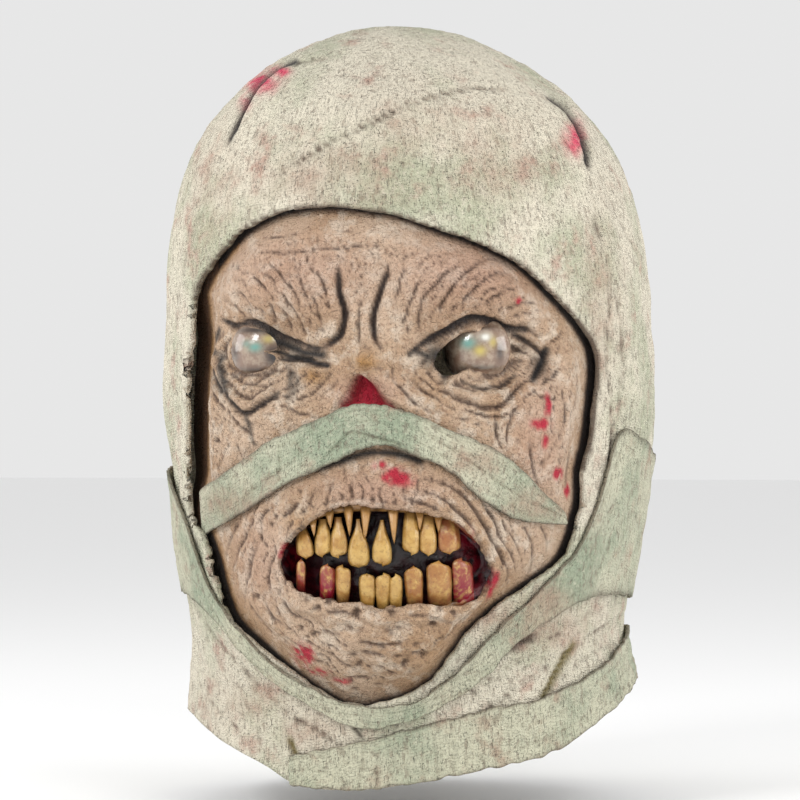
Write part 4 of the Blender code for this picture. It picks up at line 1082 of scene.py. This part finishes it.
# Upper pegs, in pixels: middle, half width, root, tip, lean of the tip, width of the root, blood,
# gum. The gum rows are the points of gum between the teeth.
UPPER_PEGS = (
    (302, 9.0, 526, 558, 4, 0.55, 0.15, 0), (323, 8.5, 519, 556, 0, 0.60, 0.0, 0),
    (338, 9.0, 517, 557, 1, 0.45, 0.1, 0), (358, 11.0, 519, 567, 1, 0.22, 0.0, 0),
    (382, 10.0, 520, 565, 0, 0.25, 0.0, 0), (411, 9.0, 512, 554, 0, 0.80, 0.0, 0),
    (428, 9.0, 516, 555, 0, 0.75, 0.1, 0), (448, 11.5, 519, 553, 2, 0.85, 0.5, 0),
    (348, 6.5, 502, 535, 2, 1.0, 0.0, 1), (366, 7.0, 502, 539, -1, 1.0, 0.0, 1),
    (393, 7.0, 502, 543, 1, 1.0, 0.0, 1), (329, 6.5, 506, 528, 1, 1.0, 0.0, 1),
    (312, 6.0, 514, 536, 2, 1.0, 0.0, 1), (420, 6.0, 506, 530, 0, 1.0, 0.0, 1),
    (438, 6.0, 510, 532, 1, 1.0, 0.1, 1))
LOWER_PEGS = (
    (301, 5.0, 594, 560, 0, 0.9, 0.85, 0), (327, 8.0, 600, 565, 1, 0.9, 1.0, 0),
    (343, 8.0, 604, 566, 0, 0.8, 0.2, 0),
    (368, 8.5, 616, 574, -1, 0.72, 0.05, 0), (383, 8.5, 616, 574, 0, 0.66, 0.05, 0),
    (396, 7.5, 616, 575, -1, 0.72, 0.05, 0), (415, 9.5, 608, 567, -2, 0.85, 0.35, 0),
    (440, 13.0, 606, 562, -1, 0.95, 0.35, 0), (464, 10.5, 606, 559, -2, 1.0, 1.0, 0))
UPPER_GUM = ((284, 545), (297, 527), (320, 511), (345, 505), (372, 504), (400, 505), (430, 509),
             (455, 518),
             (476, 536))
LOWER_GUM = ((290, 590), (305, 603), (330, 610), (360, 615), (390, 617), (420, 613), (450, 609),
             (474, 598))
teeth_finish, tree, shader = new_finish("stained_teeth", 0.34)
shader.inputs["Coat Weight"].default_value = 0.25
shader.inputs["Coat Roughness"].default_value = 0.2
color = paint(tree, between(tree, grain(tree, 0.006, 4), 0.36, 0.66), shade(196, 160, 92),
              shade(166, 124, 60))
color = paint(tree, mark(tree, "gum"), color, shade(176, 132, 78))
spotted = reckon(tree, "MULTIPLY", between(tree, grain(tree, 0.0014, 3, 0.7), 0.50, 0.72), 0.5)
color = paint(tree, spotted, color, shade(104, 70, 32))
# Dark brown from the mark of wash and painted shade.
color = paint(tree, mark(tree, "wash_and_shade"), color, shade(44, 24, 12))
raw = reckon(tree, "MULTIPLY", mark(tree, "blood"), between(tree, grain(tree, 0.003, 4), 0.25, 0.55))
color = paint(tree, raw, color, shade(128, 22, 42))
tree.links.new(color, shader.inputs["Base Color"])
relief(tree, shader, ((grain(tree, 0.0020, 4, 0.65), 0.0006, 0.55),
                      (grain(tree, 0.0006, 2), 0.0002, 0.4)))


def add_closed(row, places, marks):
    """Closed tube over a net of places, its last column on its first, capped at both ends."""
    rows, columns = places.shape[:2]
    tube = bmesh.new()
    bmesh.ops.create_grid(tube, x_segments=columns - 1, y_segments=rows - 1, size=1.0)
    layers = [(tube.verts.layers.float.new(key), marks[key]) for key in ("wash_and_shade", "blood", "gum")]
    for vert in tube.verts:
        j = round((vert.co.x + 1) / 2 * (columns - 1))
        i = round((vert.co.y + 1) / 2 * (rows - 1))
        vert.co = places[i, j]
        for layer, values in layers:
            vert[layer] = values[i, j]
    bmesh.ops.remove_doubles(tube, verts=tube.verts, dist=0.001 * MM)
    bmesh.ops.holes_fill(tube, edges=[edge for edge in tube.edges if edge.is_boundary], sides=0)
    bmesh.ops.recalc_face_normals(tube, faces=tube.faces)
    part = bpy.data.meshes.new("part")
    tube.to_mesh(part)
    tube.free()
    row.from_mesh(part)
    bpy.data.meshes.remove(part)


for name, pegs, gum_line, down in (("upper_teeth", UPPER_PEGS, UPPER_GUM, 1),
                                   ("lower_teeth", LOWER_PEGS, LOWER_GUM, -1)):
    row = bmesh.new()
    for key in ("wash_and_shade", "blood", "gum"):
        row.verts.layers.float.new(key)
    for number, (x, half_wide, root, tip, lean, root_wide, red, is_gum) in enumerate(pegs):
        steps = np.linspace(0, 1, PEG_STEPS)[:, None]
        round_angle = np.linspace(0, 2 * math.pi, PEG_SIDES)[None, :]
        swell = root_wide + (1 - root_wide) * smooth_step(steps / 0.68)
        if is_gum:
            swell = 1.0 - 0.85 * steps
        end = np.sqrt(np.clip(1 - np.clip((steps - 0.80) / 0.20, 0, 1) ** 2.6, 0.0, 1))
        side = np.sign(np.cos(round_angle)) * np.abs(np.cos(round_angle)) ** 0.62
        deep = np.sign(np.sin(round_angle)) * np.abs(np.sin(round_angle)) ** 0.8
        wide = half_wide * swell * np.maximum(end, 0.02)
        worn = 1.6 * np.cos(side * 2.1 + number) * steps
        pixels = np.stack((x + lean * steps + wide * side,
                           root + (tip - root) * steps + worn * down + 0 * side), axis=-1)
        flat = spot_on_face(pixels, 0.0)
        depth = TOOTH_DEPTH / MM / 2
        bulge = 1.0 * np.sin(np.pi * np.clip(steps, 0, 1)) - 1.3 * (1 - steps) ** 2
        lift = (-LIP_OVERLAP / MM - depth + 0.8 * is_gum + (depth * deep + bulge) * (0.55 + 0.45 * end)
                + 0.28 * mottle(flat, 0.0024, 50 + number)
                + 0.25 * np.cos(side * 9 + 2 * number) * np.maximum(deep, 0))
        # Painted shade on the teeth: darker at the sides between them and on their backs; the brown at
        # the roots is stain.
        toward_root = smooth_step((0.34 - steps) / 0.30)
        stained_root = 0.9 * toward_root * (0.3 + 0.7 * np.abs(side) ** 2)
        edge = np.clip(np.abs(side) ** 5 * 0.75 + stained_root, 0, 1)
        edge = np.maximum(edge, 0.8 * (deep < -0.2))
        red_share = red * np.clip(1.2 - 0.5 * steps + 0 * side, 0, 1)
        add_closed(row, spot_on_face(pixels, lift * MM), {
            "wash_and_shade": np.clip(edge * (0.75 + 0.5 * mottle(flat, 0.002, 70 + number)), 0, 1),
            "blood": red_share, "gum": np.maximum(toward_root * 0.6, is_gum) + 0 * side})
    path = smooth_line(gum_line, 12)
    round_angle = np.linspace(0, 2 * math.pi, GUM_SIDES)
    pixels = np.stack((np.repeat(path[:, :1], GUM_SIDES, 1),
                       path[:, 1:] + GUM_HALF * np.sin(round_angle)), axis=-1)
    flat = spot_on_face(pixels, 0.0)
    lift = (-LIP_OVERLAP / MM - GUM_SINK + GUM_DEEP * np.cos(round_angle)
            + 0.7 * mottle(flat, 0.0035, 90) + 0.4 * mottle(flat, 0.0016, 91))
    ends = np.abs(np.linspace(-1, 1, len(path)))[:, None] + 0 * lift
    add_closed(row, spot_on_face(pixels, lift * MM), {
        "wash_and_shade": np.clip(0.45 + 0.6 * mottle(flat, 0.0028, 92), 0, 1),
        "blood": smooth_step((ends - 0.70) / 0.2) * 0.8, "gum": 1 + 0 * lift})
    teeth = smooth_piece(name + "_worn", row)
    teeth.data.materials.append(teeth_finish)
    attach(teeth, "root")
    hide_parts(name)

# Nose bandage: one narrow turn of gauze bent over the stump of the nose, stretched between the
# cheeks so that its lower edge stands off the upper lip.
BAND_WALL = 0.0012


def along_line(line, share):
    """Points on a line at shares of the way along it."""
    count = len(line) - 1
    return np.stack([np.interp(share * count, np.arange(count + 1), line[:, k]) for k in (0, 1)], -1)


across_share, down_share = np.meshgrid(np.linspace(0, 1, 210), np.linspace(0, 1, 34))
top_spots = along_line(smooth_line(NOSE_TOP, 10), across_share)
low_spots = along_line(smooth_line(NOSE_LOW, 10), across_share)
fray = 1.2 * mottle(np.stack((across_share * 90, down_share * 3, 0 * down_share), -1), 1.0, 61)
pixels = top_spots + (low_spots - top_spots) * down_share[..., None]
pixels[..., 1] += fray * (np.abs(down_share - 0.5) * 2) ** 6
flat = spot_on_face(pixels, 0.0)
inner_gap, _ = outline_gap(pixels, opening)
tuck = 4.6 * (1 - smooth_step(inner_gap / 26.0))
stand = 0.9 + 0.7 * np.exp(-((pixels[..., 0] - 372) / 60) ** 2) * down_share
crepe = 0.22 * mottle(flat, (0.0030, 0.0030, 0.0012), 62) + 0.16 * mottle(flat, 0.0014, 63)
folds = 0.45 * creases(down_share * 3.2, 0.9 * mottle(flat, 0.016, 64) + 0.15)
folds = folds * smooth_step(across_share * 8)
edges = 0.45 * (fading(down_share, 0.09) + fading(1 - down_share, 0.09))
turns = ledges(pixels, (
    (0.9, 14, ((405, 446), (381, 438), (352, 431), (342, 439), (318, 464))),
    (0.6, 10, ((278, 442), (279, 462), (277, 486)))))
turns = turns + strokes(pixels, (
    (0.8, 2.2, ((430, 436), (470, 462), (520, 496), (560, 516))),
    (0.6, 2.0, ((240, 500), (280, 470), (320, 448))),
    (0.5, 1.8, ((460, 446), (500, 478), (550, 512)))))
height = crepe + folds + edges + turns
lift = stand + 1.2 + height - tuck
# Darker brown in the hollows of the crepe and along both edges: partly a brown wash, partly painted
# shade.
wash_and_shade = smooth_step((blurred(height, 8) - height) / 0.5 - 0.15) * 0.7
wash_and_shade = np.maximum(wash_and_shade, 0.55 * fading(down_share, 0.04) + 0.6 * fading(1 - down_share, 0.05))
grime = blots(pixels, ((230, 500, 26, 20, 0.7), (540, 505, 30, 16, 0.8), (480, 462, 26, 20, 0.4)))
nose_band = net_piece("nose_gauze", spot_on_face(pixels, lift * MM), {
    "wash_and_shade": np.clip(wash_and_shade, 0, 1), "grime": grime, "olive": 0.0, "blood": 0.0, "painted_shadow": 0.0},
    wall=BAND_WALL)
band = gauze_finish("band_gauze", shade(190, 188, 164), shade(148, 158, 134), shade(166, 146, 126),
                    0.0012)
nose_band.data.materials.append(band)
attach(nose_band, "root")
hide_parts("nose_bandage")

# Jaw and neck bands: two more turns laid over the hood. One is slung under the chin and round
# the back of the head, the other is the ribbed collar that climbs round the neck to the hem.
BAND_GAP = 0.0008
RIB_COUNT = 95
# Bearing in degrees, drop of the upper edge, drop of the lower edge.
JAW_BAND = (
    (-180, .610, .810), (-120, .600, .790), (-90, .600, .775), (-74, .610, .765), (-60, .655, .772),
    (-52, .715, .785), (-46, .768, .803), (-36, .815, .845), (-27, .852, .877), (-17, .880, .904),
    (-9, .897, .925), (0, .903, .930), (9, .896, .916), (18, .865, .893), (27, .825, .862),
    (36, .782, .822),
    (45, .742, .795), (53, .700, .775), (58, .640, .768), (63, .550, .765), (76, .565, .768),
    (100, .590, .778), (140, .600, .800), (180, .610, .810))
NECK_BAND = (
    (-23, .970, 1.008), (-6, .950, 1.010), (9, .930, 1.000), (26, .908, .984), (43, .892, .967),
    (63, .862, .924), (94, .818, .881), (120, .830, .900), (150, .875, .945), (180, .912, .980),
    (215, .905, .968), (250, .895, .945))
for name, table, columns, ribs in (("jaw_band", JAW_BAND, 560, 0.25),
                                   ("neck_band", NECK_BAND, 480, 0.75)):
    line = smooth_line(table, 8)
    closed = table[-1][0] - table[0][0] == 360
    degrees, down_share = np.meshgrid(np.linspace(line[0, 0], line[-1, 0], columns),
                                      np.linspace(0, 1, 26))
    upper, lower = (np.interp(degrees, line[:, 0], line[:, k]) for k in (1, 2))
    bearing = np.radians(degrees)
    around = np.stack((np.cos(bearing) * 25, np.sin(bearing) * 25, down_share * 2), -1)
    edge_noise = 0.003 * mottle(around, 1.0, 81)
    drop = upper + (lower - upper) * down_share + edge_noise * (np.abs(down_share - 0.5) * 2) ** 4
    plain = on_form(bearing, drop, fold_lift(bearing, drop) + BAND_GAP + BAND_WALL)
    spots = seen_at(plain)
    out = face_outwards(plain)
    if closed:
        out[:, 0] = out[:, -1] = (out[:, 0] + out[:, -1]) / 2
    height = 0.20 * mottle(plain, (0.0022, 0.0022, 0.005), 82) + 0.18 * mottle(plain, 0.0016, 83)
    rib_phase = np.arctan2(plain[..., 0], -plain[..., 1]) * RIB_COUNT + 1.5 * mottle(plain, 0.02, 84)
    height += ribs * 0.35 * np.sin(rib_phase) * smooth_step(0.4 + mottle(plain, 0.03, 85))
    height += 0.5 * creases(down_share * 2.4, 1.1 * mottle(plain, 0.03, 86) + 0.2)
    height += 0.4 * (fading(down_share, 0.10) + fading(1 - down_share, 0.10))
    # Darker brown in the hollows of the crepe and along both edges: partly a brown wash, partly painted
    # shade.
    wash_and_shade = smooth_step((blurred(height, 8) - height) / 0.5 - 0.15) * 0.7
    wash_and_shade = np.maximum(wash_and_shade, 0.6 * fading(down_share, 0.035) + 0.5 * fading(1 - down_share, 0.035))
    grime = blots(spots, ((530, 610, 50, 24, 0.8),)) * (out @ view_back > 0)
    turn = net_piece(name + "_gauze", plain + out * height[..., None] * MM, {
        "wash_and_shade": np.clip(wash_and_shade, 0, 1), "grime": grime, "olive": 0.0, "blood": 0.0, "painted_shadow": 0.0},
        closed=closed, wall=BAND_WALL)
    turn.data.materials.append(band)
    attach(turn, "root")
    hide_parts(name)

# Studio: a plain pale floor under the hem, a white surround and large soft lamps, with a
# stronger one at each side for the bright rims of the gauze.
FLOOR_DROP = 0.012
WORLD_STRENGTH = 0.80
LAMP_AIM = (0, 0, -0.15)
low = cad_box[0][2] - FLOOR_DROP
ground = bmesh.new()
bmesh.ops.create_grid(ground, x_segments=1, y_segments=1, size=6.0)
bmesh.ops.translate(ground, vec=(0, 0, low), verts=ground.verts)
mesh = bpy.data.meshes.new("floor")
ground.to_mesh(mesh)
ground.free()
floor_object = bpy.data.objects.new("floor", mesh)
bpy.context.scene.collection.objects.link(floor_object)
floor_finish, tree, shader = new_finish("pale_floor", 0.8)
shader.inputs["Base Color"].default_value = shade(246, 246, 246)
mesh.materials.append(floor_finish)
world = bpy.data.worlds.new("studio")
bpy.context.scene.world = world
world.use_nodes = True
surround = world.node_tree.nodes["Background"]
surround.inputs["Color"].default_value = (1.0, 1.0, 1.0, 1.0)
surround.inputs["Strength"].default_value = WORLD_STRENGTH
# Lamps: place, size in metres, power in watts.
LAMPS = (((-0.75, -1.2, 0.75), 0.45, 9.5), ((1.2, -0.25, 0.15), 0.7, 7.0),
         ((-1.2, -0.15, 0.15), 0.7, 5.0),
         ((0.6, -1.0, 0.6), 0.4, 2.5))
for number, (place, size, power) in enumerate(LAMPS):
    lamp = bpy.data.objects.new(f"lamp_{number}", bpy.data.lights.new(f"lamp_{number}", "AREA"))
    lamp.data.size = size
    lamp.data.energy = power
    lamp.location = place
    lamp.rotation_euler = (Vector(LAMP_AIM) - Vector(place)).to_track_quat("-Z", "Y").to_euler()
    bpy.context.scene.collection.objects.link(lamp)
